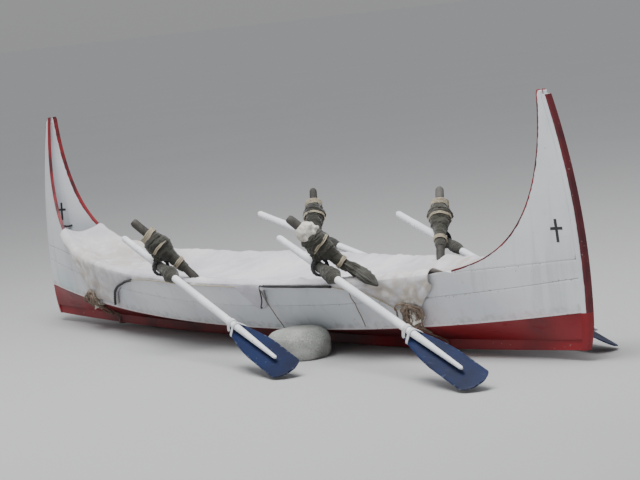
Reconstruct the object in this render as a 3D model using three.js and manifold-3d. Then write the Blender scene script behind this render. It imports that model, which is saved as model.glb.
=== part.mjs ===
// Plank boat drawn up on a beach: three planks a side and four wing boards that sweep up to the tips,
// a cloth cover over the hold, four leaning oarlock posts and four oars trailing from rope grommets.
// Millimetres, +Z up, +X to the stern, +Y to starboard, ground at z = 0.
import * as THREE from 'three';
import { mergeVertices } from 'three/addons/utils/BufferGeometryUtils.js';
import Module from 'manifold-3d';

const solids = await Module();
solids.setup();

// Sizes of the hull
const HALF_LENGTH = 2000;
const PLANK = 20;
const FIT_GAP = 0.3;
const SEAM_GAP = 0.6;
const PLANK_END = 0.985;
const STEM_AFT = 0.9854;
const STEM_HALF_WIDTH = 22;
const STEM_EDGE_HALF_WIDTH = 13;
const STEM_BELOW_TIP = 22;
const SHEER_MID = 330;
const SHEER_SWEEP = 125;
const SHEER_HORN = 650;
const SHEER_TIP = 0.976;
const SHEER_HALF_BREADTH = 410;
const SHEER_FULLNESS = 1.6;
const KEEL_HEIGHT = 44;
const KEEL_HALF_WIDTH = 32;
const KEEL_FLAT = 0.35;
const KEEL_ROCKER = 45;
const WING_START = 0.70;
const WING_FOOT = 14;
const WING_PLANK = 18;
const WING_FLARE = 0.05;
const WING_TIP_LEAN = -0.0145;

const group = new THREE.Group();
group.name = 'plank_boat';

// Finishes: colour, roughness, metalness
const FINISHES = {
  red_paint: [0x7a1518, 0.55, 0],
  white_paint: [0xdfe1e4, 0.5, 0],
  edge_paint: [0x9c1f24, 0.55, 0],
  bare_wood: [0x8a7458, 0.8, 0],
  grey_wood: [0x5d5248, 0.85, 0],
  cover_cloth: [0xe6e4e6, 0.8, 0],
  olive_cloth: [0x4b4a35, 0.95, 0],
  rope: [0x2a2926, 0.9, 0],
  pale_rope: [0x8d7f63, 0.9, 0],
  oar_white: [0xe9ebee, 0.4, 0],
  oar_blue: [0x1d2f6e, 0.4, 0],
  stone: [0x8c8d8a, 0.9, 0],
};

function addPiece(name, geometry, finish) {
  const [color, roughness, metalness] = FINISHES[finish];
  const material = new THREE.MeshStandardMaterial({ color, roughness, metalness });
  const mesh = new THREE.Mesh(geometry, material);
  mesh.name = name;
  group.add(mesh);
}

// Mesh helpers
function signedVolume(geometry) {
  const place = geometry.attributes.position;
  const index = geometry.index;
  const a = new THREE.Vector3();
  const b = new THREE.Vector3();
  const c = new THREE.Vector3();
  let sum = 0;
  for (let i = 0; i < index.count; i += 3) {
    a.fromBufferAttribute(place, index.getX(i));
    b.fromBufferAttribute(place, index.getX(i + 1));
    c.fromBufferAttribute(place, index.getX(i + 2));
    sum += a.dot(b.cross(c));
  }
  return sum / 6;
}

function closed(geometry) {
  const plain = geometry.clone();
  plain.deleteAttribute('normal');
  plain.deleteAttribute('uv');
  const welded = mergeVertices(plain, 1e-3);
  if (signedVolume(welded) < 0) {
    const index = welded.index;
    for (let i = 0; i < index.count; i += 3) {
      const first = index.getX(i);
      index.setX(i, index.getX(i + 1));
      index.setX(i + 1, first);
    }
  }
  welded.computeVertexNormals();
  return welded;
}

// A box whose three directions are bent by place(a, b, c), each from 0 to 1
function bentBox(aSteps, bSteps, cSteps, place) {
  const box = new THREE.BoxGeometry(1, 1, 1, aSteps, bSteps, cSteps);
  const at = box.attributes.position;
  for (let i = 0; i < at.count; i += 1) {
    const [x, y, z] = place(at.getX(i) + 0.5, at.getY(i) + 0.5, at.getZ(i) + 0.5);
    at.setXYZ(i, x, y, z);
  }
  return closed(box);
}

function toSolid(geometry) {
  const plain = closed(geometry);
  const mesh = new solids.Mesh({
    numProp: 3,
    vertProperties: new Float32Array(plain.attributes.position.array),
    triVerts: new Uint32Array(plain.index.array),
  });
  mesh.merge();
  return new solids.Manifold(mesh);
}

function fromSolid(solid) {
  const mesh = solid.getMesh();
  const geometry = new THREE.BufferGeometry();
  geometry.setAttribute('position', new THREE.BufferAttribute(new Float32Array(mesh.vertProperties), 3));
  geometry.setIndex(Array.from(mesh.triVerts));
  return geometry;
}

function lerp(a, b, t) {
  return a + (b - a) * t;
}

// Reads a table of [place, value] rows at any place between them
function readTable(rows, at) {
  for (let i = 1; i < rows.length; i += 1) {
    if (at <= rows[i][0]) {
      const share = (at - rows[i - 1][0]) / (rows[i][0] - rows[i - 1][0]);
      return lerp(rows[i - 1][1], rows[i][1], Math.max(0, share));
    }
  }
  return rows[rows.length - 1][1];
}

// Lines of the hull. A station u runs from -1 at the bow stem to 1 at the stern stem.
function stemX(z) {
  const raked = HALF_LENGTH - 214e-6 * (z - 330) ** 2;
  const tuck = Math.max(0, (160 - z) / 160);
  return raked - 34 * tuck ** 2;
}

function keelBottom(u) {
  return KEEL_ROCKER * Math.max(0, (Math.abs(u) - KEEL_FLAT) / (1 - KEEL_FLAT)) ** 1.5;
}

function sheerHeight(u) {
  const s = Math.min(1, Math.abs(u) / SHEER_TIP);
  return SHEER_MID + SHEER_SWEEP * s ** 3 + SHEER_HORN * s ** 12;
}

// The sheer plank's top edge: the sheer itself, then a lower line that carries the wing boards
function strakeTop(u) {
  const t = Math.abs(u);
  if (t < WING_START) return sheerHeight(u);
  return sheerHeight(WING_START) - WING_FOOT + 150 * (t - WING_START);
}

// How far a wing board leans out per unit of height: out where it starts, and in towards the tip
function wingLean(u) {
  const share = Math.max(0, (Math.abs(u) - WING_START) / (PLANK_END - WING_START));
  return WING_FLARE + (WING_TIP_LEAN - WING_FLARE) * share;
}

// Seams from the keel up: height of the seam, half breadth amidships, fullness of its plan curve and the
// angle above level at which the plank's thickness points inward
const SEAMS = {
  keel: { height: (u) => keelBottom(u) + KEEL_HEIGHT + FIT_GAP, half: 29, fullness: 6, lift: 88 },
  paint: { height: (u) => 93 + 109 * u * u, half: 249, fullness: 2.15, lift: 62 },
  bilge: { height: (u) => 215 + 130 * u * u, half: 345, fullness: 1.75, lift: 32 },
  sheer: { height: strakeTop, half: SHEER_HALF_BREADTH, fullness: SHEER_FULLNESS, lift: 0 },
};

function planHalf(half, fullness, u) {
  return STEM_HALF_WIDTH + (half - STEM_HALF_WIDTH) * (1 - Math.abs(u) ** fullness);
}

// A point of a seam, some way in from the outer face
function seamPoint(seam, u, depth) {
  const angle = THREE.MathUtils.degToRad(seam.lift * (1 - Math.abs(u) ** 4));
  const z = seam.height(u) + depth * Math.sin(angle);
  const y = planHalf(seam.half, seam.fullness, u) - depth * Math.cos(angle);
  return [y, z];
}

// Stations closer together towards the stems
function station(a, from, to) {
  const low = Math.asin(from / PLANK_END);
  const high = Math.asin(to / PLANK_END);
  return PLANK_END * Math.sin(lerp(low, high, a));
}

const HULL_STEPS = 46;

function plankBox(lower, upper, side, options = {}) {
  const { outside = 0, inside = PLANK, above = 0, uSteps = HULL_STEPS, rows = 2 } = options;
  return bentBox(uSteps, rows, 1, (a, b, c) => {
    const u = options.stations ? options.stations(a) : station(a, -PLANK_END, PLANK_END);
    const depth = lerp(outside, inside, c);
    const [yLow, zLow] = seamPoint(lower, u, depth);
    const [yHigh, zHigh] = seamPoint(upper, u, depth);
    const width = Math.hypot(yHigh - yLow, zHigh - zLow);
    const gap = SEAM_GAP * (0.5 + u ** 4);
    const from = lower === SEAMS.keel ? 0 : gap;
    const to = upper === SEAMS.sheer ? width + above : width - gap;
    const share = lerp(from, to, b) / width;
    const z = lerp(zLow, zHigh, share);
    return [u * stemX(z), side * lerp(yLow, yHigh, share), z];
  });
}

// Outer and inner half breadth of the hull at a station and height, below the wing boards
function hullHalf(u, z, depth) {
  const rows = Object.values(SEAMS).map((seam) => {
    const [y, height] = seamPoint(seam, u, depth);
    return [height, y];
  });
  return readTable(rows, z);
}

// The sheer plank steps down under each wing board, so its stations double up at the step
function strakeStations(a) {
  const marks = [-PLANK_END, -WING_START - 1e-4, -WING_START, WING_START, WING_START + 1e-4, PLANK_END];
  const slots = [0, 10, 11, 35, 36, HULL_STEPS];
  const step = Math.round(a * HULL_STEPS);
  for (let i = 1; i < slots.length; i += 1) {
    if (step <= slots[i]) {
      const share = (step - slots[i - 1]) / (slots[i] - slots[i - 1]);
      return station(share, marks[i - 1], marks[i]);
    }
  }
  return PLANK_END;
}

const SIDES = [
  { word: 'port', sign: -1 },
  { word: 'starboard', sign: 1 },
];
const ENDS = [
  { word: 'bow', sign: -1 },
  { word: 'stern', sign: 1 },
];

for (const side of SIDES) {
  const garboard = plankBox(SEAMS.keel, SEAMS.paint, side.sign, { rows: 4 });
  addPiece(`garboard_plank_${side.word}`, garboard, 'red_paint');
  addPiece(`bilge_plank_${side.word}`, plankBox(SEAMS.paint, SEAMS.bilge, side.sign), 'white_paint');
  const sheerPlank = plankBox(SEAMS.bilge, SEAMS.sheer, side.sign, { stations: strakeStations });
  addPiece(`sheer_plank_${side.word}`, sheerPlank, 'white_paint');
}

// Wing boards: the sheer swept up to each tip
for (const end of ENDS) {
  for (const side of SIDES) {
    const wing = bentBox(18, 5, 1, (a, b, c) => {
      const u = end.sign * station(a, WING_START + 3e-4, PLANK_END);
      const [yLow, zRail] = seamPoint(SEAMS.sheer, u, lerp(0, WING_PLANK, c));
      const zFoot = zRail + FIT_GAP;
      const zTop = sheerHeight(u);
      const z = lerp(zFoot, zTop, b);
      return [u * stemX(z), side.sign * (yLow + wingLean(u) * (z - zFoot)), z];
    });
    addPiece(`wing_board_${end.word}_${side.word}`, wing, 'white_paint');
  }
}

// Keel, in one length between the stems
const keel = bentBox(HULL_STEPS, 2, 1, (a, b, c) => {
  const u = station(a, -PLANK_END, PLANK_END);
  const z = keelBottom(u) + KEEL_HEIGHT * b;
  const half = KEEL_HALF_WIDTH - 11 * Math.abs(u) ** 4;
  return [u * stemX(z), half * (2 * c - 1), z];
});
addPiece('keel', keel, 'red_paint');

// Stems: a raked cutwater at each end, as wide behind as the planks it closes
for (const end of ENDS) {
  const foot = keelBottom(PLANK_END);
  const top = sheerHeight(1) - STEM_BELOW_TIP;
  const stem = bentBox(3, 24, 1, (a, b, c) => {
    const z = lerp(foot, top, b ** 1.5);
    const u = lerp(STEM_AFT, 1, a);
    const aboveStrake = Math.max(0, z - strakeTop(PLANK_END));
    const boards = hullHalf(PLANK_END, z, 0) + wingLean(PLANK_END) * aboveStrake;
    const behind = Math.max(STEM_HALF_WIDTH - 1, boards);
    const half = lerp(behind, STEM_EDGE_HALF_WIDTH, a ** 1.5);
    return [end.sign * u * stemX(z), half * (2 * c - 1), z];
  });
  addPiece(`${end.word}_stem`, stem, 'edge_paint');
}

// Frames: one bent rib at each place, fitted inside the planks
const FRAMES = [
  // word, x of its middle, width along the boat
  ['forward', -1120, 32],
  ['bow_thwart', -383.5, 32],
  ['stern_thwart', 661.5, 32],
  ['aft', 1290, 32],
];
const FRAME_DEPTH = 30;
const FRAME_HEAD_BELOW_SHEER = 34;

for (const [word, x, width] of FRAMES) {
  const narrowU = (Math.abs(x) + width / 2) / (HALF_LENGTH - 25);
  const outline = (depth) => {
    const points = [SEAMS.sheer, SEAMS.bilge, SEAMS.paint, SEAMS.keel].map((seam) => {
      return seamPoint(seam, narrowU, depth);
    });
    const [sheer, bilge] = points;
    const share = FRAME_HEAD_BELOW_SHEER / (sheer[1] - bilge[1]);
    points[0] = [lerp(sheer[0], bilge[0], share), lerp(sheer[1], bilge[1], share)];
    return points;
  };
  const outer = outline(PLANK + 0.6);
  const inner = outline(PLANK + FRAME_DEPTH);
  const shape = new THREE.Shape();
  const chain = [...outer, ...outer.map(([y, z]) => [-y, z]).reverse()];
  const back = [...inner, ...inner.map(([y, z]) => [-y, z]).reverse()].reverse();
  [...chain, ...back].forEach(([y, z], i) => {
    if (i === 0) shape.moveTo(y, z);
    else shape.lineTo(y, z);
  });
  shape.closePath();
  const rib = new THREE.ExtrudeGeometry(shape, { depth: width, bevelEnabled: false, steps: 1 });
  rib.applyMatrix4(new THREE.Matrix4().makeBasis(
    new THREE.Vector3(0, 1, 0), new THREE.Vector3(0, 0, 1), new THREE.Vector3(1, 0, 0)));
  rib.translate(x - width / 2, 0, 0);
  addPiece(`frame_${word}`, closed(rib), 'bare_wood');
}

// Thwarts: seats across the boat, their ends cut to the planks
const THWARTS = [
  // word, x of its middle, width along the boat, height of its top
  ['bow_thwart', -500, 200, 262],
  ['stern_thwart', 545, 200, 262],
  ['stern_seat', 1425, 190, 318],
];
const THWART_THICKNESS = 24;

for (const [word, x, width, top] of THWARTS) {
  const thwart = bentBox(6, 2, 1, (a, b, c) => {
    const px = x + width * (a - 0.5);
    const u = px / (HALF_LENGTH - 2);
    const low = top - THWART_THICKNESS;
    const half = Math.min(hullHalf(u, low, PLANK), hullHalf(u, top, PLANK)) - 0.7;
    return [px, half * (2 * b - 1), lerp(low, top, c)];
  });
  addPiece(word, thwart, 'bare_wood');
}

// Oarlocks and oars. Each post leans forward and outboard from inside the gunwale.
const POST_RADIUS = 17;
const POST_FORWARD = 200;
const POST_RISE = 300;
const POST_LEG = 84;
const RING_ALONG_POST = 0.6;
const RING_BELOW_POST = 110;
const RING_RADIUS = 23.3;
const RING_TUBE = 5;
const OAR_RADIUS = 17;
const BLADE_LENGTH = 560;
const BLADE_WIDTH = 140;
const BLADE_THICKNESS = 12;
const BLADE_ROLL = 24;
const SPINE_SHORT_OF_TIP = 110;

const LOCKS = [
  // end and side, x of the foot, outboard lean, oar inside the ring, oar outside it, and how many
  // degrees outward the oar trails at rest: the starboard oars lie close along the hull
  { end: 'bow', side: SIDES[0], footX: -174, leanOut: 190, inboard: 430, outboard: 1300, trail: 12 },
  { end: 'bow', side: SIDES[1], footX: -174, leanOut: 190, inboard: 430, outboard: 1300, trail: 3 },
  { end: 'stern', side: SIDES[0], footX: 905, leanOut: 220, inboard: 385, outboard: 1284, trail: 12 },
  { end: 'stern', side: SIDES[1], footX: 825, leanOut: 220, inboard: 385, outboard: 1284, trail: -10 },
];

function tubeBetween(from, to, radius, sides = 16) {
  const along = to.clone().sub(from);
  const rod = new THREE.CylinderGeometry(radius, radius, along.length(), sides, 1);
  const turn = new THREE.Quaternion().setFromUnitVectors(new THREE.Vector3(0, 1, 0), along.clone().normalize());
  rod.applyQuaternion(turn);
  const middle = from.clone().add(to).multiplyScalar(0.5);
  rod.translate(middle.x, middle.y, middle.z);
  return rod;
}

// The blade's lowest point decides how far the resting oar dips
function bladeDrop(outboard, dip) {
  const roll = THREE.MathUtils.degToRad(BLADE_ROLL);
  const across = 0.40 * BLADE_WIDTH * Math.sin(roll) + (OAR_RADIUS + BLADE_THICKNESS) * Math.cos(roll);
  return outboard * Math.sin(dip) + across * Math.cos(dip);
}

function restDip(height, outboard) {
  let low = 0;
  let high = 0.6;
  for (let i = 0; i < 40; i += 1) {
    const dip = (low + high) / 2;
    if (height - bladeDrop(outboard, dip) > 3) low = dip;
    else high = dip;
  }
  return low;
}

for (const lock of LOCKS) {
  const { side, footX } = lock;
  const name = `${lock.end}_${side.word}`;
  const u = footX / (HALF_LENGTH - 1);
  const gunwale = planHalf(SHEER_HALF_BREADTH, SHEER_FULLNESS, u);
  const foot = new THREE.Vector3(footX, side.sign * (gunwale - 41), sheerHeight(u) + 5);
  const lean = new THREE.Vector3(-POST_FORWARD, side.sign * lock.leanOut, POST_RISE);
  const along = lean.clone().normalize();

  // Post with its leg against the inside of the planks
  const legDrop = hullHalf(u, foot.z - POST_LEG, PLANK) - POST_RADIUS + 2;
  const legFoot = new THREE.Vector3(footX, side.sign * legDrop, foot.z - POST_LEG);
  const knee = new THREE.SphereGeometry(POST_RADIUS, 16, 10);
  knee.translate(foot.x, foot.y, foot.z);
  let post = toSolid(tubeBetween(foot, foot.clone().add(lean), POST_RADIUS));
  post = post.add(toSolid(tubeBetween(legFoot, foot, POST_RADIUS))).add(toSolid(knee));
  const nearHull = plankBox(SEAMS.bilge, SEAMS.sheer, side.sign,
    { outside: -60, inside: PLANK + FIT_GAP, above: FIT_GAP, stations: strakeStations });
  post = post.subtract(toSolid(nearHull));
  addPiece(`oarlock_post_${name}`, fromSolid(post), 'grey_wood');

  // Ring around the oar, below the post
  const pivot = foot.clone().addScaledVector(lean, RING_ALONG_POST);
  pivot.z -= RING_BELOW_POST;
  const heading = THREE.MathUtils.degToRad(lock.trail);
  const ahead = new THREE.Vector3(Math.cos(heading), side.sign * Math.sin(heading), 0);
  const ring = new THREE.TorusGeometry(RING_RADIUS, RING_TUBE, 10, 28);
  ring.applyQuaternion(new THREE.Quaternion().setFromUnitVectors(new THREE.Vector3(0, 0, 1), ahead));
  ring.translate(pivot.x, pivot.y, pivot.z);
  addPiece(`oar_grommet_${name}`, closed(ring), 'rope');

  // Cloth wound on the post, with the short strop that the ring hangs from
  const wrapFrom = foot.clone().addScaledVector(lean, 0.24);
  const wrapTo = foot.clone().addScaledVector(lean, 0.74);
  const wrapAlong = wrapTo.clone().sub(wrapFrom);
  const profile = [];
  const WRAP_RINGS = 8;
  for (let i = 0; i <= WRAP_RINGS; i += 1) {
    const bulge = Math.sin((Math.PI * i) / WRAP_RINGS);
    profile.push(new THREE.Vector2(21 + 7 * Math.sqrt(bulge), wrapAlong.length() * (i / WRAP_RINGS)));
  }
  profile.unshift(new THREE.Vector2(0, 0));
  profile.push(new THREE.Vector2(0, wrapAlong.length()));
  const sleeve = new THREE.LatheGeometry(profile, 20);
  sleeve.applyQuaternion(new THREE.Quaternion().setFromUnitVectors(new THREE.Vector3(0, 1, 0), along));
  sleeve.translate(wrapFrom.x, wrapFrom.y, wrapFrom.z);
  const stropFoot = pivot.clone().add(new THREE.Vector3(0, 0, RING_RADIUS + RING_TUBE + FIT_GAP));
  const stropHead = pivot.clone().add(new THREE.Vector3(0, 0, RING_BELOW_POST - 10));
  let wrap = toSolid(sleeve).add(toSolid(tubeBetween(stropFoot, stropHead, 7, 12)));
  const core = toSolid(tubeBetween(foot.clone().addScaledVector(along, -30),
    foot.clone().add(lean).addScaledVector(along, 30), POST_RADIUS + FIT_GAP));
  wrap = wrap.subtract(core);
  addPiece(`oarlock_wrap_${name}`, fromSolid(wrap), 'olive_cloth');

  // Oar: white shaft that runs on over the blue blade as its spine
  const dip = restDip(pivot.z, lock.outboard);
  const outward = ahead.clone().multiplyScalar(Math.cos(dip)).add(new THREE.Vector3(0, 0, -Math.sin(dip)));
  const across = new THREE.Vector3(side.sign * Math.sin(heading), -Math.cos(heading), 0);
  const up = outward.clone().cross(across).multiplyScalar(-1);
  if (up.z < 0) up.negate();
  const oarFrame = new THREE.Matrix4().makeBasis(outward, up.clone().cross(outward), up);
  const roll = new THREE.Matrix4().makeRotationX(side.sign * THREE.MathUtils.degToRad(-BLADE_ROLL));
  const setOar = new THREE.Matrix4().makeTranslation(pivot.x, pivot.y, pivot.z);
  setOar.multiply(oarFrame).multiply(roll);

  const shaftProfile = [
    // distance out from the ring, radius
    [-lock.inboard, 0], [-lock.inboard, 13], [-lock.inboard + 12, 16], [-lock.inboard + 130, 16],
    [-lock.inboard + 150, OAR_RADIUS], [lock.outboard - BLADE_LENGTH, OAR_RADIUS],
    [lock.outboard - SPINE_SHORT_OF_TIP - 12, 9], [lock.outboard - SPINE_SHORT_OF_TIP, 0],
  ].map(([x, r]) => new THREE.Vector2(r, x));
  const shaft = new THREE.LatheGeometry(shaftProfile, 18);
  shaft.rotateZ(-Math.PI / 2);
  const shaftSolid = closed(shaft);
  shaftSolid.applyMatrix4(setOar);
  addPiece(`oar_shaft_${name}`, shaftSolid, 'oar_white');

  const blade = new THREE.Shape();
  const bladeHalf = BLADE_WIDTH / 2;
  blade.moveTo(0, -22);
  blade.lineTo(0, 22);
  blade.quadraticCurveTo(150, bladeHalf - 8, 300, bladeHalf);
  blade.lineTo(BLADE_LENGTH - 40, bladeHalf);
  blade.quadraticCurveTo(BLADE_LENGTH, bladeHalf, BLADE_LENGTH, 0.4 * bladeHalf);
  blade.lineTo(BLADE_LENGTH, -0.4 * bladeHalf);
  blade.quadraticCurveTo(BLADE_LENGTH, -bladeHalf, BLADE_LENGTH - 40, -bladeHalf);
  blade.lineTo(300, -bladeHalf);
  blade.quadraticCurveTo(150, -bladeHalf + 8, 0, -22);
  const board = new THREE.ExtrudeGeometry(blade,
    { depth: BLADE_THICKNESS, bevelEnabled: false, curveSegments: 6 });
  board.translate(lock.outboard - BLADE_LENGTH, 0, -OAR_RADIUS - BLADE_THICKNESS - FIT_GAP);
  const boardSolid = closed(board);
  boardSolid.applyMatrix4(setOar);
  addPiece(`oar_blade_${name}`, boardSolid, 'oar_blue');

}

// Cloth cover over the hold, tucked over both gunwales and pulled down at its four corners
const COVER_FROM = -0.835;
const COVER_TO = 0.65;
const COVER_THICKNESS = 6;
const COVER_SAG = 26;
const COVER_HEM = [
  // station, height of the hem outside the hull
  [-0.835, 490], [-0.78, 420], [-0.72, 280], [-0.685, 176], [-0.60, 168], [-0.55, 176], [-0.50, 245],
  [-0.44, 283], [-0.35, 308], [-0.10, 314], [0.35, 316], [0.445, 304], [0.515, 256], [0.56, 212],
  [0.595, 204], [0.62, 256], [0.65, 322],
];
const COVER_COLUMNS = 48;
const COVER_ROWS = 14;

// How far the wing boards, near which the cover lies, stand out past the sheer plank at a height
function wingOut(u, z) {
  if (Math.abs(u) < WING_START - 0.05) return 0;
  return wingLean(u) * Math.max(0, z - strakeTop(u)) + 0.8;
}

// The rail's outer half breadth, out to the wing boards
function railHalf(u) {
  return planHalf(SHEER_HALF_BREADTH, SHEER_FULLNESS, u) + wingOut(u, sheerHeight(u));
}

// Where the cover hangs beside the planks, and how far its inner face stands off them
function skirtHalf(u, z, lift) {
  return hullHalf(u, z, 0) + wingOut(u, z) + lift + 2.2;
}

function coverLift(u) {
  return u < 0.05 - WING_START ? 2.8 : 0.8;
}

// Half a section of the cover from its middle to its hem: share of the way to the rail, then of the hem
const COVER_TOP = [0, 0.35, 0.7, 1];
const COVER_SKIRT = [0, 0.35, 0.7, 1];
const RAIL_LANDING = 26;

function coverPoint(u, node, lift) {
  const rail = railHalf(u);
  const railTop = sheerHeight(u);
  if (node < COVER_TOP.length) {
    const out = COVER_TOP[node];
    const sag = COVER_SAG * (1 - out ** 3) * Math.min(1, rail / 250);
    return [(rail - RAIL_LANDING) * out, railTop + lift - sag];
  }
  const down = COVER_SKIRT[node - COVER_TOP.length];
  if (down === 0) return [rail + lift + 0.5, railTop + lift];
  const hem = Math.min(readTable(COVER_HEM, u), railTop - 10);
  const z = lerp(railTop, hem, down);
  return [skirtHalf(u, z, lift), z];
}

const coverSheet = bentBox(COVER_COLUMNS, COVER_ROWS, 1, (a, b, c) => {
  const u = lerp(COVER_FROM, COVER_TO, a);
  const row = Math.round(b * COVER_ROWS) - COVER_ROWS / 2;
  const [y, z] = coverPoint(u, Math.abs(row), coverLift(u) + COVER_THICKNESS * c);
  return [u * stemX(Math.min(z, sheerHeight(u))), Math.sign(row) * y, z];
});
let cover = toSolid(coverSheet);
for (const lock of LOCKS) {
  const u = lock.footX / (HALF_LENGTH - 1);
  const gunwale = planHalf(SHEER_HALF_BREADTH, SHEER_FULLNESS, u);
  const notch = new THREE.BoxGeometry(150, 150, 300);
  notch.translate(lock.footX - 26, lock.side.sign * (gunwale + 4), sheerHeight(u));
  cover = cover.subtract(toSolid(notch));
}
addPiece('cloth_cover', fromSolid(cover), 'cover_cloth');

// Ropes passed under the hull that tie the cover's corners down, with a knot at each side
const TIES = [
  // word, station, height of the knots, distance off the cover that seats the rope against it
  ['bow', -0.685, 196, 2.1],
  ['stern', 0.585, 232, 3],
];
const ROPE_RADIUS = 3.5;
const KNOT_RADIUS = 17;
const HEM_CLEARANCE = 14;

for (const [word, u, knotHeight, seat] of TIES) {
  const x = u * stemX(100);
  const off = ROPE_RADIUS + 1.4;
  const path = [];
  const half = [];
  const belowHem = readTable(COVER_HEM, u) - HEM_CLEARANCE;
  const overCover = (z) => skirtHalf(u, z, coverLift(u) + COVER_THICKNESS) + seat;
  for (const z of [knotHeight, belowHem + 6]) half.push([overCover(z) + ROPE_RADIUS, z]);
  for (const z of [belowHem, SEAMS.paint.height(u)]) half.push([hullHalf(u, z, 0) + off + 1.5, z - 2]);
  const keelSide = KEEL_HALF_WIDTH + off;
  half.push([keelSide + 4, keelBottom(u) + KEEL_HEIGHT - off]);
  half.push([keelSide - 2, keelBottom(u) - off + 0.5]);
  half.forEach(([y, z]) => path.push(new THREE.Vector3(x, -y, z)));
  half.reverse().forEach(([y, z]) => path.push(new THREE.Vector3(x, y, z)));
  const line = new THREE.CatmullRomCurve3(path, false, 'catmullrom', 0.1);
  const circle = new THREE.Shape();
  circle.absarc(0, 0, ROPE_RADIUS, 0, 2 * Math.PI);
  const tube = new THREE.ExtrudeGeometry(circle,
    { steps: 44, extrudePath: line, curveSegments: 5, bevelEnabled: false });
  let tie = toSolid(tube);
  for (const side of SIDES) {
    const knot = new THREE.SphereGeometry(KNOT_RADIUS, 14, 10);
    knot.scale(1, 0.7, 1.15);
    knot.translate(x, side.sign * (overCover(knotHeight) + 0.7 * KNOT_RADIUS + 2), knotHeight);
    tie = tie.add(toSolid(knot));
  }
  addPiece(`cover_tie_${word}`, fromSolid(tie), 'pale_rope');
}

// Chock stones under both bilges, the starboard one further forward, clear of the oar's blade
const STONE_X = { port: 520, starboard: 300 };
const STONE_Y = 345;
const STONE_HALF = [150, 125, 88];
const STONE_MIDDLE = 50;

for (const side of SIDES) {
  const stone = new THREE.IcosahedronGeometry(1, 5);
  const at = stone.attributes.position;
  for (let i = 0; i < at.count; i += 1) {
    const x = at.getX(i);
    const y = at.getY(i);
    const z = at.getZ(i);
    const power = 2.5;
    const round = (Math.abs(x) ** power + Math.abs(y) ** power + Math.abs(z) ** power) ** (1 / power);
    const lump = 1 + 0.04 * Math.sin(3 * x + 2 * y + side.sign) + 0.03 * Math.cos(4 * y - 3 * z);
    at.setXYZ(i, (STONE_HALF[0] * x * lump) / round, (STONE_HALF[1] * y * lump) / round,
      (STONE_HALF[2] * z * lump) / round);
  }
  stone.translate(STONE_X[side.word], side.sign * STONE_Y, STONE_MIDDLE);
  const ground = new THREE.BoxGeometry(900, 900, 200);
  ground.translate(STONE_X[side.word], side.sign * STONE_Y, -100);
  let chock = toSolid(stone).subtract(toSolid(ground));
  const hullSide = bentBox(HULL_STEPS, 8, 1, (a, b, c) => {
    const u = station(a, -PLANK_END, PLANK_END);
    const [from, to] = b < 0.5 ? [SEAMS.keel, SEAMS.paint] : [SEAMS.paint, SEAMS.bilge];
    const [yLow, zLow] = seamPoint(from, u, 0);
    const [yHigh, zHigh] = seamPoint(to, u, 0);
    const share = b < 0.5 ? 2 * b : 2 * b - 1;
    const z = lerp(zLow, zHigh, share) - 2 * FIT_GAP;
    return [u * stemX(z), side.sign * (lerp(yLow, yHigh, share) + 2 * FIT_GAP) * (1 - c), z];
  });
  chock = chock.subtract(toSolid(hullSide));
  addPiece(`chock_stone_${side.word}`, fromSolid(chock), 'stone');
}

export default group;
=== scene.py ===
# %% [markdown]
# # A plank boat at rest with its cover on
# This lesson dresses a plain solid model of a small rowing boat with high swept ends. The solid
# model is the frame: it fixes every size and every joint. Each step below adds or replaces one kind
# of piece: painted planks, posts, wound cloth, rope, oars and a cloth cover.

# %% Load the solid model
import math

import bmesh
import bpy
import numpy as np
from mathutils import Matrix, Vector, noise
from mathutils.bvhtree import BVHTree


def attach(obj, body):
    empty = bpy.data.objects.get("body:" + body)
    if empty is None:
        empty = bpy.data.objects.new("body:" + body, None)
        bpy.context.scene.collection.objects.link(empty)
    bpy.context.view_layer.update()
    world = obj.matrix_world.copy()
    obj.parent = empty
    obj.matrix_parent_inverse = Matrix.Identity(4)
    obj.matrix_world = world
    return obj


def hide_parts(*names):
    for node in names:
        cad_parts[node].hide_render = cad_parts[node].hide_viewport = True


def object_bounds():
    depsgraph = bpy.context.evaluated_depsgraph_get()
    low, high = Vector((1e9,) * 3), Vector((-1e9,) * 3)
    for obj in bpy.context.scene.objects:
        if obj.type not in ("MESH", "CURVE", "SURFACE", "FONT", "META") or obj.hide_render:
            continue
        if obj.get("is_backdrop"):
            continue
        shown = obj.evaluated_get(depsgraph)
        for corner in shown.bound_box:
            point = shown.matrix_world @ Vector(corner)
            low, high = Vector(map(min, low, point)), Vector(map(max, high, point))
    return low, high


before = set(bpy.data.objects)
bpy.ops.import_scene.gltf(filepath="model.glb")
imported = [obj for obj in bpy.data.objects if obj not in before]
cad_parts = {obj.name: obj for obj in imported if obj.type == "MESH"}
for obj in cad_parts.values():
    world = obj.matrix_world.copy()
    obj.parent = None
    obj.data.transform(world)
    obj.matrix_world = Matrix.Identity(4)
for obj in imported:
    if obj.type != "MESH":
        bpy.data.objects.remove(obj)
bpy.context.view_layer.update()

# %% [markdown]
# ## Camera
# The boat is seen from its stern quarter, from a little above its high tips, with a long lens that
# keeps both ends nearly the same size. The camera's top leans a little against the boat's upright.
# A matrix built from three directions places it exactly, which a tracking constraint wouldn't do
# with a leaning top.

# %% Camera
CAMERA_PLACE = Vector((7.978, -6.164, 1.509))
CAMERA_AIM = Vector((0.322, 0.0, 0.469))
CAMERA_TOP = Vector((-0.013, 0.150, 0.989))
CAMERA_LENS = 121.0
SENSOR_WIDTH = 36.0


def linked(name, data):
    """A new object in the scene that holds the data."""
    made = bpy.data.objects.new(name, data)
    bpy.context.scene.collection.objects.link(made)
    return made


def look_from(place, aim, top):
    """A matrix that stands at place and looks at aim, with top towards the picture's upper edge."""
    back = (place - aim).normalized()
    right = top.cross(back).normalized()
    turn = Matrix((right, back.cross(right), back)).transposed()
    return Matrix.Translation(place) @ turn.to_4x4()


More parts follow.
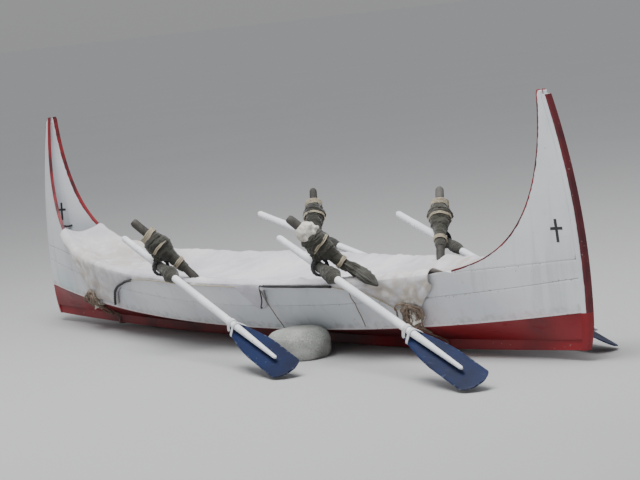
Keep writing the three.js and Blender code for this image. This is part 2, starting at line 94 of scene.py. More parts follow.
camera_data = bpy.data.cameras.new("camera")
camera_data.lens = CAMERA_LENS
camera_data.sensor_width = SENSOR_WIDTH
camera = linked("camera", camera_data)
camera.matrix_world = look_from(CAMERA_PLACE, CAMERA_AIM, CAMERA_TOP)
bpy.context.scene.camera = camera
print("camera is", round((CAMERA_PLACE - CAMERA_AIM).length, 2), "m from the boat")

# %% [markdown]
# ## Nodes as expressions
# Materials and geometry trees are both graphs of nodes. One small class holds a tree and adds nodes
# to it, and another holds an output, so that arithmetic on masks can be written as plain Python.

# %% Graph and link classes


class Link:
    """An output of a node. Arithmetic on it adds Math nodes to the same tree."""

    def __init__(self, graph, socket):
        self.graph = graph
        self.socket = socket

    def other(self, name):
        return Link(self.graph, self.socket.node.outputs[name])

    def math(self, operation, *values):
        return self.graph.math(operation, self, *values)

    def __add__(self, value):
        return self.math("ADD", value)

    def __radd__(self, value):
        return self.graph.math("ADD", value, self)

    def __sub__(self, value):
        return self.math("SUBTRACT", value)

    def __rsub__(self, value):
        return self.graph.math("SUBTRACT", value, self)

    def __mul__(self, value):
        return self.math("MULTIPLY", value)

    def __rmul__(self, value):
        return self.graph.math("MULTIPLY", value, self)

    def __truediv__(self, value):
        return self.math("DIVIDE", value)


class Graph:
    """Adds nodes to a tree: a node's settings first, then the values or links of its sockets."""

    def __init__(self, tree):
        self.tree = tree

    def node(self, kind, settings=None, inputs=None, output=0):
        made = self.tree.nodes.new(kind)
        for key, value in (settings or {}).items():
            if key == "stops":
                self.set_stops(made, value)
            else:
                setattr(made, key, value)
        for key, value in (inputs or {}).items():
            self.feed(made.inputs[key], value)
        return Link(self, made.outputs[output])

    def feed(self, socket, value):
        if isinstance(value, Link):
            self.tree.links.new(value.socket, socket)
        else:
            socket.default_value = value

    def set_stops(self, made, stops):
        ramp = made.color_ramp
        while len(ramp.elements) < len(stops):
            ramp.elements.new(0.5)
        for element, (place, colour) in zip(ramp.elements, stops):
            element.position = place
            element.color = (*colour, 1.0)

    def math(self, operation, *values):
        return self.node("ShaderNodeMath", {"operation": operation}, dict(enumerate(values)))


# %% [markdown]
# ## A finish
# A finish is a material with a few helpers: noise in the piece's own coordinates, a soft step
# between two values, and a mix of two colours by a mask. Every surface of the boat is built from
# these, so old paint, wood, cloth and stone all get colour, roughness and bump that vary together.

# %% Finish class


class Finish(Graph):
    """A material whose nodes are added through the graph's methods."""

    def __init__(self, name, sheen=0.0, specular=0.5):
        self.material = bpy.data.materials.new(name)
        self.material.use_nodes = True
        super().__init__(self.material.node_tree)
        self.shader = self.tree.nodes["Principled BSDF"]
        self.feed(self.shader.inputs["Sheen Weight"], sheen)
        self.feed(self.shader.inputs["Specular IOR Level"], specular)
        self.place = self.node("ShaderNodeTexCoord", output="Object")

    def noise(self, scale, detail=3.0, stretch=(1, 1, 1), rough=0.5, warp=0.0):
        """Noise from 0 to 1. A small number in stretch draws it out along that axis."""
        inputs = {0: self.place, 1: stretch}
        place = self.node("ShaderNodeVectorMath", {"operation": "MULTIPLY"}, inputs)
        inputs = {"Vector": place, "Scale": scale, "Detail": detail, "Roughness": rough,
                  "Distortion": warp}
        return self.node("ShaderNodeTexNoise", None, inputs)

    def cells(self, scale):
        """Distance to the middle of the nearest cell."""
        return self.node("ShaderNodeTexVoronoi", None, {"Vector": self.place, "Scale": scale})

    def step(self, value, low, high):
        """0 below low and 1 above high, with a soft change between them."""
        settings = {"interpolation_type": "SMOOTHSTEP"}
        inputs = {"Value": value, "From Min": low, "From Max": high}
        return self.node("ShaderNodeMapRange", settings, inputs)

    def mark(self, name):
        """A value stored on the piece's points."""
        return self.node("ShaderNodeAttribute", {"attribute_name": name}, output="Fac")

    def cloth_place(self):
        return self.node("ShaderNodeUVMap", {"uv_map": "UVMap"})

    def mix(self, mask, first, second):
        """The first colour where the mask is 0, the second where it is 1."""
        def full(colour):
            return colour if isinstance(colour, Link) else (*colour, 1.0)
        inputs = {0: mask, 6: full(first), 7: full(second)}
        return self.node("ShaderNodeMix", {"data_type": "RGBA"}, inputs, 2)

    def part(self, place, axis):
        return self.node("ShaderNodeSeparateXYZ", None, {0: place}, axis)

    def finish(self, colour, roughness, bump=None, depth=0.0):
        """Feeds the shader. depth is the height of the full bump, in metres."""
        self.feed(self.shader.inputs["Base Color"], colour)
        self.feed(self.shader.inputs["Roughness"], roughness)
        if bump is not None:
            inputs = {"Height": bump, "Distance": depth, "Strength": 1.0}
            self.feed(self.shader.inputs["Normal"], self.node("ShaderNodeBump", None, inputs))
        return self.material


# %% [markdown]
# ## Old boat paint
# The boat is brush painted: white topsides, a deep red bottom and dark red edges. Old paint has
# brush marks along the plank, streaks that run down, dull patches, and chips where a corner has been
# knocked. Marks are stored on the pieces' points for this: "edge", which is 1 on a corner, "rise",
# the height above the paint line, "rim", the distance from a wing board's swept edge, and "fore",
# which is 1 on a stem's leading edge.

# %% Paint finishes
WHITE_BRIGHT = (0.76, 0.78, 0.81)
WHITE_DULL = (0.60, 0.63, 0.67)
GRIME = (0.33, 0.32, 0.30)
BARE = (0.36, 0.30, 0.24)
TEAL_STAIN = (0.42, 0.66, 0.63)
PINK_STAIN = (0.74, 0.50, 0.56)
RED_DEEP = (0.235, 0.006, 0.012)
RED_DULL = (0.105, 0.006, 0.010)
RED_DUSTY = (0.26, 0.050, 0.050)
EDGE_RED = (0.215, 0.010, 0.018)
EDGE_DARK = (0.070, 0.007, 0.013)
STEM_RED = (0.120, 0.008, 0.014)
LINE_PALE = (0.80, 0.72, 0.74)


def topside_paint(name, rim=False):
    """White paint. With rim, the edge paint also wraps about a centimetre over the faces."""
    paint = Finish(name)
    patches = paint.noise(2.2, detail=4)
    brush = paint.noise(60.0, detail=3, stretch=(0.06, 1, 1))
    colour = paint.mix(paint.step(patches, 0.35, 0.72), WHITE_BRIGHT, WHITE_DULL)
    streaks = paint.step(paint.noise(26.0, detail=4, stretch=(1, 1, 0.06)), 0.52, 0.80)
    colour = paint.mix(streaks * 0.30, colour, GRIME)
    rise = paint.mark("rise")
    low_band = 1 - paint.step(rise, 0.0, 0.16)
    tint_place = paint.noise(3.1, detail=2, stretch=(1, 1, 2))
    colour = paint.mix(paint.step(tint_place, 0.56, 0.72) * low_band * 0.42, colour, TEAL_STAIN)
    colour = paint.mix((1 - paint.step(tint_place, 0.30, 0.46)) * low_band * 0.34, colour, PINK_STAIN)
    splash = paint.step(paint.noise(34.0, detail=5) * (1 - paint.step(rise, 0.004, 0.09)), 0.30, 0.62)
    colour = paint.mix(splash * 0.45, colour, GRIME)
    wobble = (paint.noise(5.0, detail=2) - 0.5) * 0.004
    line = paint.step(rise + wobble, 0.0, 0.001) * (1 - paint.step(rise + wobble, 0.008, 0.011))
    colour = paint.mix(line * 0.6, colour, LINE_PALE)
    chips = paint.step(paint.noise(85.0, detail=5) + paint.mark("edge") * 0.10, 0.70, 0.74)
    colour = paint.mix(chips * 0.8, colour, BARE)
    height = brush * 0.35 + patches * 0.4 - chips * 0.5
    if rim:
        reach = paint.mark("rim") + (paint.noise(40.0, detail=2) - 0.5) * 0.008
        red = 1 - paint.step(reach, 0.0090, 0.0110)
        dark = paint.step(paint.noise(14.0, detail=3), 0.40, 0.62)
        colour = paint.mix(red, colour, paint.mix(dark, EDGE_RED, EDGE_DARK))
    return paint.finish(colour, 0.42 + patches * 0.22 + chips * 0.2, height, depth=0.0016)


def bottom_paint(name):
    """Deep red paint, scuffed and dusty near the ground."""
    paint = Finish(name)
    patches = paint.noise(3.4, detail=5)
    brush = paint.noise(55.0, detail=3, stretch=(0.06, 1, 1))
    colour = paint.mix(paint.step(patches, 0.38, 0.66), RED_DEEP, RED_DULL)
    scuff = paint.step(paint.noise(46.0, detail=6, stretch=(0.18, 1, 1)), 0.60, 0.74)
    low = 1 - paint.step(paint.part(paint.place, "Z"), 0.03, 0.14)
    colour = paint.mix(scuff * (0.10 + low * 0.22), colour, RED_DUSTY)
    chips = paint.step(paint.noise(70.0, detail=5) + paint.mark("edge") * 0.06, 0.74, 0.78)
    colour = paint.mix(chips * 0.6, colour, BARE)
    height = brush * 0.4 + patches * 0.4 - chips * 0.5
    return paint.finish(colour, 0.36 + scuff * 0.3 + patches * 0.15, height, depth=0.0016)


def edge_paint(name):
    """Stem paint: white beside the boards, dark red on the leading edge, red under the paint line."""
    paint = Finish(name)
    dark = paint.step(paint.noise(9.0, detail=4), 0.38, 0.66)
    red = paint.mix(dark, STEM_RED, EDGE_DARK)
    white = paint.mix(paint.step(paint.noise(2.2, detail=4), 0.35, 0.72), WHITE_BRIGHT, WHITE_DULL)
    reach = paint.mark("fore") + (paint.noise(30.0, detail=2) - 0.5) * 0.12
    colour = paint.mix(paint.step(reach, 0.60, 0.66), white, red)
    colour = paint.mix(paint.step(paint.mark("rise"), -0.001, 0.001), RED_DEEP, colour)
    chips = paint.step(paint.noise(75.0, detail=5) + paint.mark("edge") * 0.06, 0.71, 0.75)
    colour = paint.mix(chips * 0.7, colour, BARE)
    grain = paint.noise(70.0, detail=3, stretch=(1, 1, 0.08))
    return paint.finish(colour, 0.45 + dark * 0.2, grain * 0.6 - chips * 0.5, depth=0.0014)


WHITE = topside_paint("white topside paint")
WHITE_RIMMED = topside_paint("white paint with dark red rim", rim=True)
RED = bottom_paint("deep red bottom paint")
EDGE = edge_paint("dark red edge paint")
print("paints", [m.name for m in bpy.data.materials])

# %% [markdown]
# ## Wood, cloth, rope and stone
# Bare wood is long noise stretched along the grain. Cloth gets its weave from its own flat
# coordinates, so the threads follow every fold. Rope is modelled with real strands, so its material
# only needs fibres and dirt. The stones are mottled at three scales.

# %% Other finishes


def wood(name, pale, dark, along="X", weathered=0.3):
    """Wood with its grain along an axis. weathered is the share of grey on it."""
    timber = Finish(name)
    stretch = {"X": (0.05, 1, 1), "Z": (1, 1, 0.05)}[along]
    grain = timber.noise(48.0, detail=6, stretch=stretch, rough=0.62, warp=0.4)
    broad = timber.noise(5.0, detail=3)
    colour = timber.mix(timber.step(grain, 0.32, 0.68), pale, dark)
    colour = timber.mix(timber.step(broad, 0.45, 0.75) * weathered, colour, (0.30, 0.29, 0.27))
    cracks = timber.step(timber.noise(30.0, detail=4, stretch=stretch), 0.66, 0.72)
    colour = timber.mix(cracks * 0.7, colour, (0.05, 0.04, 0.03))
    return timber.finish(colour, 0.68 + broad * 0.2, grain * 0.7 - cracks, depth=0.0022)


def woven(name, pale, dark, stain, lines, thread=0.0024, specks=0.0, soiled=False):
    """Cloth with a plain weave, in metres of the cloth's own flat coordinates.

    lines is the depth of its wrinkles, specks the strength of dark spots. With soiled, two marks
    stored on the cloth darken it: soil, which is dirt near the ties, and painted shade in the hollows
    of the folds."""
    cloth = Finish(name, sheen=0.25)
    flat = cloth.cloth_place()
    turns = 2 * math.pi / thread
    weave = (cloth.part(flat, "X") * turns).math("SINE") * (cloth.part(flat, "Y") * turns).math("SINE")
    broad = cloth.noise(3.0, detail=5)
    blotch = cloth.noise(9.0, detail=6, warp=0.6)
    colour = cloth.mix(cloth.step(broad, 0.36, 0.66), pale, dark)
    colour = cloth.mix(cloth.step(blotch, 0.55, 0.78) * 0.35, colour, stain)
    colour = cloth.mix(weave * 0.05 + 0.05, colour, stain)
    if specks:
        dots = 1 - cloth.step(cloth.cells(30.0), 0.05, 0.14)
        chosen = cloth.step(cloth.noise(7.0, detail=2), 0.50, 0.60)
        colour = cloth.mix(dots * chosen * specks, colour, (0.10, 0.09, 0.12))
    if soiled:
        patchy = cloth.step(cloth.noise(14.0, detail=5, warp=0.8), 0.30, 0.62)
        colour = cloth.mix(cloth.mark("soil") * patchy * 0.85, colour, (0.47, 0.40, 0.29))
        # Painted shade: a blue-grey darkening in the hollows between the cloth's crumples, read from a mark
        # on the cloth.
        colour = cloth.mix(cloth.mark("valley") * 0.55, colour, (0.40, 0.39, 0.44))
    wrinkles = cloth.noise(18.0, detail=4, stretch=(0.35, 1.2, 1), warp=1.2)
    height = weave * 0.12 + cloth.noise(26.0, detail=4) * 0.6 + blotch
    height = height + (wrinkles - 0.5).math("ABSOLUTE") * lines
    return cloth.finish(colour, 0.78 + blotch * 0.15, height, depth=0.0022)


def fibres(name, pale, dark, dirt=(0.06, 0.055, 0.05)):
    """Twisted fibres of rope, with dirt in broad patches."""
    cord = Finish(name, sheen=0.15)
    hairs = cord.noise(420.0, detail=3, stretch=(1, 1, 0.5))
    broad = cord.noise(16.0, detail=4)
    colour = cord.mix(cord.step(hairs, 0.35, 0.70), pale, dark)
    colour = cord.mix(cord.step(broad, 0.50, 0.78) * 0.6, colour, dirt)
    return cord.finish(colour, 0.82 + hairs * 0.12, hairs, depth=0.0006)


def oar_paint(name, bright, dull, chipped, specular=0.5):
    """Paint that is worn by handling: scratched along the piece, and chipped on its edges."""
    paint = Finish(name, specular=specular)
    patches = paint.noise(6.0, detail=5)
    scratches = paint.step(paint.noise(90.0, detail=4, stretch=(0.15, 1, 1)), 0.62, 0.76)
    colour = paint.mix(paint.step(patches, 0.36, 0.70), bright, dull)
    colour = paint.mix(scratches * 0.35, colour, chipped)
    chips = paint.step(paint.noise(60.0, detail=5) + paint.mark("edge") * 0.13, 0.69, 0.73)
    colour = paint.mix(chips, colour, chipped)
    height = patches * 0.6 + scratches * -0.3 - chips * 0.5
    return paint.finish(colour, 0.34 + patches * 0.2 + scratches * 0.2, height, depth=0.0012)


def pebble(name):
    """Grey stone with bands, pale crystals and dark specks."""
    stone = Finish(name)
    broad = stone.noise(7.0, detail=4)
    speckle = stone.noise(150.0, detail=4)
    bands = stone.noise(12.0, detail=3, stretch=(0.4, 0.4, 2.4), warp=1.0)
    colour = stone.mix(stone.step(broad, 0.34, 0.68), (0.37, 0.38, 0.35), (0.23, 0.24, 0.22))
    colour = stone.mix(stone.step(bands, 0.55, 0.70) * 0.35, colour, (0.44, 0.44, 0.42))
    colour = stone.mix(stone.step(speckle, 0.58, 0.66) * 0.5, colour, (0.52, 0.52, 0.50))
    colour = stone.mix((1 - stone.step(speckle, 0.34, 0.42)) * 0.5, colour, (0.07, 0.07, 0.08))
    return stone.finish(colour, 0.62 + speckle * 0.25, broad + speckle * 0.15, depth=0.004)


BARE_WOOD = wood("bare frame wood", (0.36, 0.28, 0.19), (0.17, 0.12, 0.08))
SEAT_WOOD = wood("thwart wood", (0.40, 0.33, 0.25), (0.21, 0.16, 0.12), weathered=0.5)
POST_WOOD = wood("weathered post wood", (0.058, 0.053, 0.045), (0.024, 0.022, 0.019), along="Z")
COVER_CLOTH = woven("white cover cloth", (0.79, 0.78, 0.81), (0.62, 0.61, 0.67),
                    stain=(0.46, 0.44, 0.50), lines=1.9, specks=0.55, soiled=True)
CREAM_CLOTH = woven("cream cover cloth", (0.74, 0.71, 0.64), (0.52, 0.48, 0.41),
                    stain=(0.34, 0.29, 0.22), lines=1.2)
OLIVE_CLOTH = woven("olive wrap cloth", (0.039, 0.038, 0.027), (0.015, 0.015, 0.012),
                    stain=(0.072, 0.069, 0.054), lines=0.8, thread=0.003)
BLACK_ROPE = fibres("black rope", (0.035, 0.035, 0.037), (0.012, 0.012, 0.013))
BROWN_ROPE = fibres("brown rope", (0.30, 0.225, 0.17), (0.11, 0.08, 0.055))
PALE_ROPE = fibres("pale cord", (0.55, 0.49, 0.36), (0.33, 0.28, 0.20), dirt=(0.20, 0.17, 0.12))
OAR_WHITE = oar_paint("white oar paint", (0.84, 0.85, 0.87), (0.70, 0.72, 0.76), (0.42, 0.36, 0.30))
OAR_BLUE = oar_paint("navy blade paint", (0.006, 0.015, 0.062), (0.004, 0.008, 0.030),
                     (0.07, 0.085, 0.13), specular=0.14)
STONE = pebble("beach stone")
CROSS_PAINT = oar_paint("black cross paint", (0.020, 0.020, 0.022), (0.035, 0.035, 0.036),
                        (0.30, 0.30, 0.30))
print("finishes", len(bpy.data.materials))

# %% [markdown]
# ## Making a piece
# Nearly every piece of the boat is long: a plank, a rope, a shaft. A loft suits them all: it joins a
# row of rings that have the same number of points, and closes both ends. The helper also stores the
# marks that the finishes read, and a flat map for cloth.

# %% Piece and loft helpers
SHARP_ANGLE = math.radians(38)
UP = Vector((0, 0, 1))


def lerp(a, b, share):
    return a + (b - a) * share


def table_value(table, x):
    """The value at x of a table of (x, value) pairs, straight between them."""
    return float(np.interp(x, *zip(*table)))


def keep_piece(name, mesh, body):
    """An object for a finished mesh, with the body that it rides on."""
    piece = linked(name, mesh)
    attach(piece, body)
    return piece


def add_piece(name, points, faces, material, body, marks=None, flat=None):
    """A piece from plain points and faces. flat holds one (across, along) pair for each face corner."""
    mesh = bpy.data.meshes.new(name)
    mesh.from_pydata([tuple(p) for p in points], [], faces)
    for mark, values in (marks or {}).items():
        layer = mesh.attributes.new(mark, "FLOAT", "POINT")
        layer.data.foreach_set("value", [float(v) for v in values])
    if flat is not None:
        layer = mesh.uv_layers.new(name="UVMap")
        layer.data.foreach_set("uv", [float(v) for pair in flat for v in pair])
    mesh.materials.append(material)
    build = bmesh.new()
    build.from_mesh(mesh)
    bmesh.ops.recalc_face_normals(build, faces=build.faces)
    build.to_mesh(mesh)
    build.free()
    mesh.shade_smooth()
    mesh.set_sharp_from_angle(angle=SHARP_ANGLE)
    return keep_piece(name, mesh, body)


def loft_faces(ring_count, ring_size):
    """Faces between neighbouring rings, and one at each end."""
    faces = []
    for i in range(ring_count - 1):
        low, high = i * ring_size, (i + 1) * ring_size
        for j in range(ring_size):
            k = (j + 1) % ring_size
            faces.append((low + j, low + k, high + k, high + j))
    last = (ring_count - 1) * ring_size
    return faces + [tuple(reversed(range(ring_size))), tuple(range(last, last + ring_size))]


def loft_flat(ring_count, ring_size, girth, length):
    """Flat coordinates for a loft's side faces and its two ends."""
    flat = []
    for i in range(ring_count - 1):
        for j in range(ring_size):
            left = girth * j / ring_size
            right = girth * (j + 1) / ring_size
            low = length * i / (ring_count - 1)
            high = length * (i + 1) / (ring_count - 1)
            flat += [(left, low), (right, low), (right, high), (left, high)]
    return flat + [(0.0, 0.0)] * (2 * ring_size)


def loft(name, rings, material, body, marks=None, girth=None, length=None):
    """A piece through rings of points. With a girth and a length it also gets a flat map."""
    size = len(rings[0])
    points = [p for ring in rings for p in ring]
    flat = loft_flat(len(rings), size, girth, length) if girth else None
    return add_piece(name, points, loft_faces(len(rings), size), material, body, marks, flat)


# %% [markdown]
# ## The lines of the hull
# The hull is drawn by a few curves along a station u, from -1 at the bow stem to 1 at the stern
# stem. They are the same curves as in the solid model, here in metres, so every new plank lies
# exactly where its solid is.

# %% Hull lines
HALF_LENGTH = 2.0
STEM_CURVE = 0.214
STEM_TUCK = 0.034
STEM_TUCK_HEIGHT = 0.160
KEEL_FLAT = 0.35
KEEL_LIFT = 0.045
SHEER_AMIDSHIPS = 0.330
SHEER_RISE = 0.125
TIP_RISE = 0.650
TIP_STATION = 0.976
SHEER_HALF = 0.410
SHEER_FULLNESS = 1.6
STRAKE_SLOPE = 0.150
CLOSE = 0.0003
PLANK = 0.020
PLANK_END = 0.985
STEM_AFT = 0.9854
STEM_HALF_WIDTH = 0.022
STEM_EDGE_HALF_WIDTH = 0.013
STEM_BELOW_TIP = 0.022
KEEL_HEIGHT = 0.044
KEEL_HALF_WIDTH = 0.032
WING_START = 0.70
WING_FOOT = 0.014
WING_PLANK = 0.018
WING_FLARE = 0.05
WING_TIP_LEAN = -0.0145
SIDES = {"port": -1, "starboard": 1}
ENDS = {"bow": -1, "stern": 1}


def stem_x(z):
    """How far a stem stands from amidships: foremost at the sheer's height, tucked in at its foot."""
    tuck = max(0.0, (STEM_TUCK_HEIGHT - z) / STEM_TUCK_HEIGHT)
    return HALF_LENGTH - STEM_CURVE * (z - SHEER_AMIDSHIPS) ** 2 - STEM_TUCK * tuck ** 2


def keel_bottom(u):
    """The keel lies flat amidships and lifts towards both ends."""
    return KEEL_LIFT * max(0.0, (abs(u) - KEEL_FLAT) / (1 - KEEL_FLAT)) ** 1.5


def sheer_height(u):
    """The gunwale's height, with a slow rise and then a steep one up to the tips."""
    s = min(1.0, abs(u) / TIP_STATION)
    return SHEER_AMIDSHIPS + SHEER_RISE * s ** 3 + TIP_RISE * s ** 12


def strake_top(u):
    """The top of the sheer plank, which runs on below the wing boards."""
    if abs(u) < WING_START:
        return sheer_height(u)
    return sheer_height(WING_START) - WING_FOOT + STRAKE_SLOPE * (abs(u) - WING_START)


# Each seam: its height at a station, half breadth amidships, fullness, and the plank's lift in degrees
SEAMS = {
    "keel": (lambda u: keel_bottom(u) + KEEL_HEIGHT + CLOSE, 0.029, 6.0, 88),
    "paint": (lambda u: 0.093 + 0.109 * u * u, 0.249, 2.15, 62),
    "bilge": (lambda u: 0.215 + 0.130 * u * u, 0.345, 1.75, 32),
    "sheer": (strake_top, SHEER_HALF, SHEER_FULLNESS, 0),
}


def plan_half(half, fullness, u):
    """Half breadth at a station of a line that narrows from half amidships to the stems."""
    return STEM_HALF_WIDTH + (half - STEM_HALF_WIDTH) * (1 - abs(u) ** fullness)


def sheer_half(u):
    return plan_half(SHEER_HALF, SHEER_FULLNESS, u)


def seam_point(seam, u, depth=0.0):
    """(y, z) of a seam at a station, moved inwards by a depth square to the plank."""
    height, half, fullness, lift = SEAMS[seam]
    angle = math.radians(lift * (1 - abs(u) ** 4))
    return (plan_half(half, fullness, u) - depth * math.cos(angle),
            height(u) + depth * math.sin(angle))


def wing_lean(u):
    """How far a wing board leans out per unit of height: outwards at its foot, inwards at the tip."""
    share = max(0.0, (abs(u) - WING_START) / (PLANK_END - WING_START))
    return WING_FLARE + (WING_TIP_LEAN - WING_FLARE) * share


def hull_half(u, z, depth=0.0):
    """Half breadth of the hull at a station and height, out to the leaning wing boards."""
    rows = [seam_point(seam, u, depth) for seam in SEAMS]
    if z > rows[-1][1]:
        return rows[-1][0] + wing_lean(u) * (z - rows[-1][1])
    for (y_low, z_low), (y_high, z_high) in zip(rows, rows[1:]):
        if z <= z_high:
            return lerp(y_low, y_high, max(0.0, (z - z_low) / (z_high - z_low)))
    return rows[-1][0]


def stations(start, end, count):
    """Places along the boat, closer together towards the stems."""
    low, high = math.asin(start / PLANK_END), math.asin(end / PLANK_END)
    return [PLANK_END * math.sin(lerp(low, high, i / count)) for i in range(count + 1)]


def handmade(x, z):
    """The slight waviness of a hull planed by hand, in metres, outwards."""
    return 0.0014 * noise.noise(Vector((x * 1.6, z * 2.5, 3.1)))


print("beam", round(2 * sheer_half(0), 3), "tip height", round(sheer_height(1), 3))

# %% [markdown]
# ## Planks
# A real plank has softened corners, and each seam shows as a thin dark line. A plain box would
# have knife edges, so every section is drawn as a strip with rounded corners, with extra rows beside
# each corner so that the "edge" mark stays narrow.

# %% Planks of the hull
CORNER_RADIUS = 0.0013
EDGE_MARGIN = 0.010
SEAM_GAP = 0.0003


def strip_section(width, thickness, radius=CORNER_RADIUS, rows=5):
    """Points round a strip's section as (across, depth, edge mark), starting on the outer face."""
    radius = min(radius, 0.2 * width)
    margin = min(EDGE_MARGIN, 0.2 * (width - 2 * radius))
    inner = np.linspace(radius + margin, width - radius - margin, rows + 1)
    flat = [radius, *inner, width - radius]
    marks = [1.0, *([0.0] * len(inner)), 1.0]
    turn = [math.radians(30), math.radians(60)]
    far = [(width - radius + radius * math.sin(t), radius - radius * math.cos(t), 1.0) for t in turn]
    outer = [(a, 0.0, m) for a, m in zip(flat, marks)] + far
    back = [(width - a, thickness - d, m) for a, d, m in outer]
    return outer + back


def plank(name, lower, upper, side, places, material):
    """A plank between two seams, bent along the hull."""
    rings, edge, rise = [], [], []
    for u in places:
        y_low, z_low = seam_point(lower, u)
        y_high, z_high = seam_point(upper, u)
        width = math.hypot(y_high - y_low, z_high - z_low)
        gap = SEAM_GAP * (0.5 + u ** 4)
        from_low = 0.0 if lower == "keel" else gap
        net = width - from_low - (0.0 if upper == "sheer" else gap)
        ring = []
        for across, depth, mark in strip_section(net, PLANK):
            (ya, za), (yb, zb) = seam_point(lower, u, depth), seam_point(upper, u, depth)
            share = (from_low + across) / width
            z = lerp(za, zb, share)
            x = u * stem_x(z)
            ring.append((x, side * (lerp(ya, yb, share) + handmade(x, z)), z))
            edge.append(mark)
            rise.append(z - seam_point("paint", u)[1])
        rings.append(ring)
    return loft(name, rings, material, "hull", {"edge": edge, "rise": rise})


HULL_STATIONS = stations(-PLANK_END, PLANK_END, 110)
# The sheer plank's top steps down where a wing board starts, so two stations stand close together
STEP = 0.0004
SHEER_STATIONS = (stations(-PLANK_END, -WING_START - STEP, 22) + stations(-WING_START, WING_START, 70)
                  + stations(WING_START + STEP, PLANK_END, 22))

for word, side in SIDES.items():
    for kind, lower, upper, places, material, slot in (
        ("garboard", "keel", "paint", HULL_STATIONS, RED, "bottom_paint"),
        ("bilge", "paint", "bilge", HULL_STATIONS, WHITE, "topside_paint"),
        ("sheer", "bilge", "sheer", SHEER_STATIONS, WHITE, "topside_paint"),
    ):
        piece = plank(f"{kind}_board_{word}", lower, upper, side, places, material)
        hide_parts(f"{kind}_plank_{word}")
print("points of the last plank", len(piece.data.vertices))

# %% [markdown]
# ## Wing boards, keel and stems
# The wing boards carry the sheer up to the tips. Their painted rim follows the swept edge, so each
# section runs from a point of that edge to a point of the foot or of the stem. The mark "rim" holds
# the distance from the edge, and the finish paints the first centimetre dark red.

# %% Wing boards
WING_SECTIONS = 54
WING_CORNER_RADIUS = 0.004


def spaced_line(points, count):
    """A line of (u, z) pairs again, with evenly spaced points in real length."""
    real = np.array([(u * HALF_LENGTH, z) for u, z in points])
    along = np.concatenate([[0], np.cumsum(np.linalg.norm(np.diff(real, axis=0), axis=1))])
    at = np.linspace(0, along[-1], count)
    return np.stack([np.interp(at, along, [p[k] for p in points]) for k in range(2)], axis=1)


def wing_point(end, side, u, z, depth):
    """A point of a wing board at a depth below its outer face."""
    y_rail, z_rail = seam_point("sheer", u, depth)
    x = end * u * stem_x(z)
    return (x, side * (y_rail + wing_lean(u) * (z - z_rail) + handmade(x, z)), z)


wing_us = [lerp(WING_START + CLOSE, PLANK_END, (i / 200) ** 0.8) for i in range(201)]
sheer_line = [(u, sheer_height(u)) for u in wing_us]
foot_line = [(u, strake_top(u) + CLOSE) for u in wing_us]
stem_line = [(PLANK_END, lerp(foot_line[-1][1], sheer_line[-1][1] - 0.010, i / 40)) for i in range(1, 41)]
rim_points = spaced_line(sheer_line[:-6], WING_SECTIONS)
back_points = spaced_line(foot_line + stem_line, WING_SECTIONS)

for end_word, end in ENDS.items():
    for word, side in SIDES.items():
        rings, edge, rim = [], [], []
        for start, stop in zip(rim_points, back_points):
            width = math.hypot((stop[0] - start[0]) * HALF_LENGTH, stop[1] - start[1])
            ring = []
            section = strip_section(width, WING_PLANK, radius=WING_CORNER_RADIUS, rows=7)
            for across, depth, mark in section:
                u, z = start + (stop - start) * (across / width)
                ring.append(wing_point(end, side, u, z, depth))
                edge.append(mark if across < 0.5 * width else 0.0)
                rim.append(across)
            rings.append(ring)
        piece = loft(f"wing_{end_word}_{word}", rings, WHITE_RIMMED, "hull",
                     {"edge": edge, "rim": rim, "rise": [0.3] * len(rim)})
        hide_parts(f"wing_board_{end_word}_{word}")
print("sections of a wing board", len(rings))

# %% Keel
KEEL_TAPER = 0.011
KEEL_CORNER_RADIUS = 0.005

rings, edge = [], []
for u in HULL_STATIONS:
    half = KEEL_HALF_WIDTH - KEEL_TAPER * abs(u) ** 4
    ring = []
    for across, depth, mark in strip_section(2 * half, KEEL_HEIGHT, KEEL_CORNER_RADIUS, rows=3):
        z = keel_bottom(u) + KEEL_HEIGHT - depth
        ring.append((u * stem_x(z), across - half, z))
        edge.append(mark)
    rings.append(ring)
keel = loft("keel_timber", rings, RED, "hull", {"edge": edge})
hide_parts("keel")
print("keel stations", len(rings))

# %% Stems
STEM_LEVELS = 60
# Places along a stem's section, from 0 beside the planks to 1 at the leading edge
STEM_SECTION = [0.0, 0.25, 0.5, 0.7, 0.85, 0.95]
foot = keel_bottom(PLANK_END)
top = sheer_height(1) - STEM_BELOW_TIP
paint_line = seam_point("paint", PLANK_END)[1]

for end_word, end in ENDS.items():
    rings, edge, fore, rise = [], [], [], []
    for level in range(STEM_LEVELS + 1):
        z = lerp(foot, top, (level / STEM_LEVELS) ** 1.2)
        behind = max(STEM_HALF_WIDTH - 0.001, hull_half(PLANK_END, z))
        ring = []
        for hand in (-1, 1):
            for a in STEM_SECTION if hand < 0 else reversed(STEM_SECTION):
                half = lerp(behind, STEM_EDGE_HALF_WIDTH, a ** 1.5)
                ring.append((end * lerp(STEM_AFT, 1.0, a) * stem_x(z), hand * half, z))
                edge.append(1.0 if a > 0.9 else 0.0)
                fore.append(a)
            if hand < 0:
                for across in (-0.6, 0.0, 0.6):
                    rounded = 1.0 - 0.0004 * abs(across)
                    ring.append((end * rounded * stem_x(z), across * STEM_EDGE_HALF_WIDTH, z))
                    edge.append(0.5)
                    fore.append(1.0)
        rings.append(ring)
        rise += [z - paint_line] * len(ring)
    marks = {"edge": edge, "fore": fore, "rise": rise}
    piece = loft(f"{end_word}_cutwater", rings, EDGE, "hull", marks)
    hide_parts(f"{end_word}_stem")
print("stem levels", STEM_LEVELS)

# %% [markdown]
# ## Frames and thwarts
# Inside, bent ribs stiffen the planks and three boards make the seats. The ribs are lofted along
# the hull's own section, and the boards' ends are cut to the planks, as a builder scribes them.

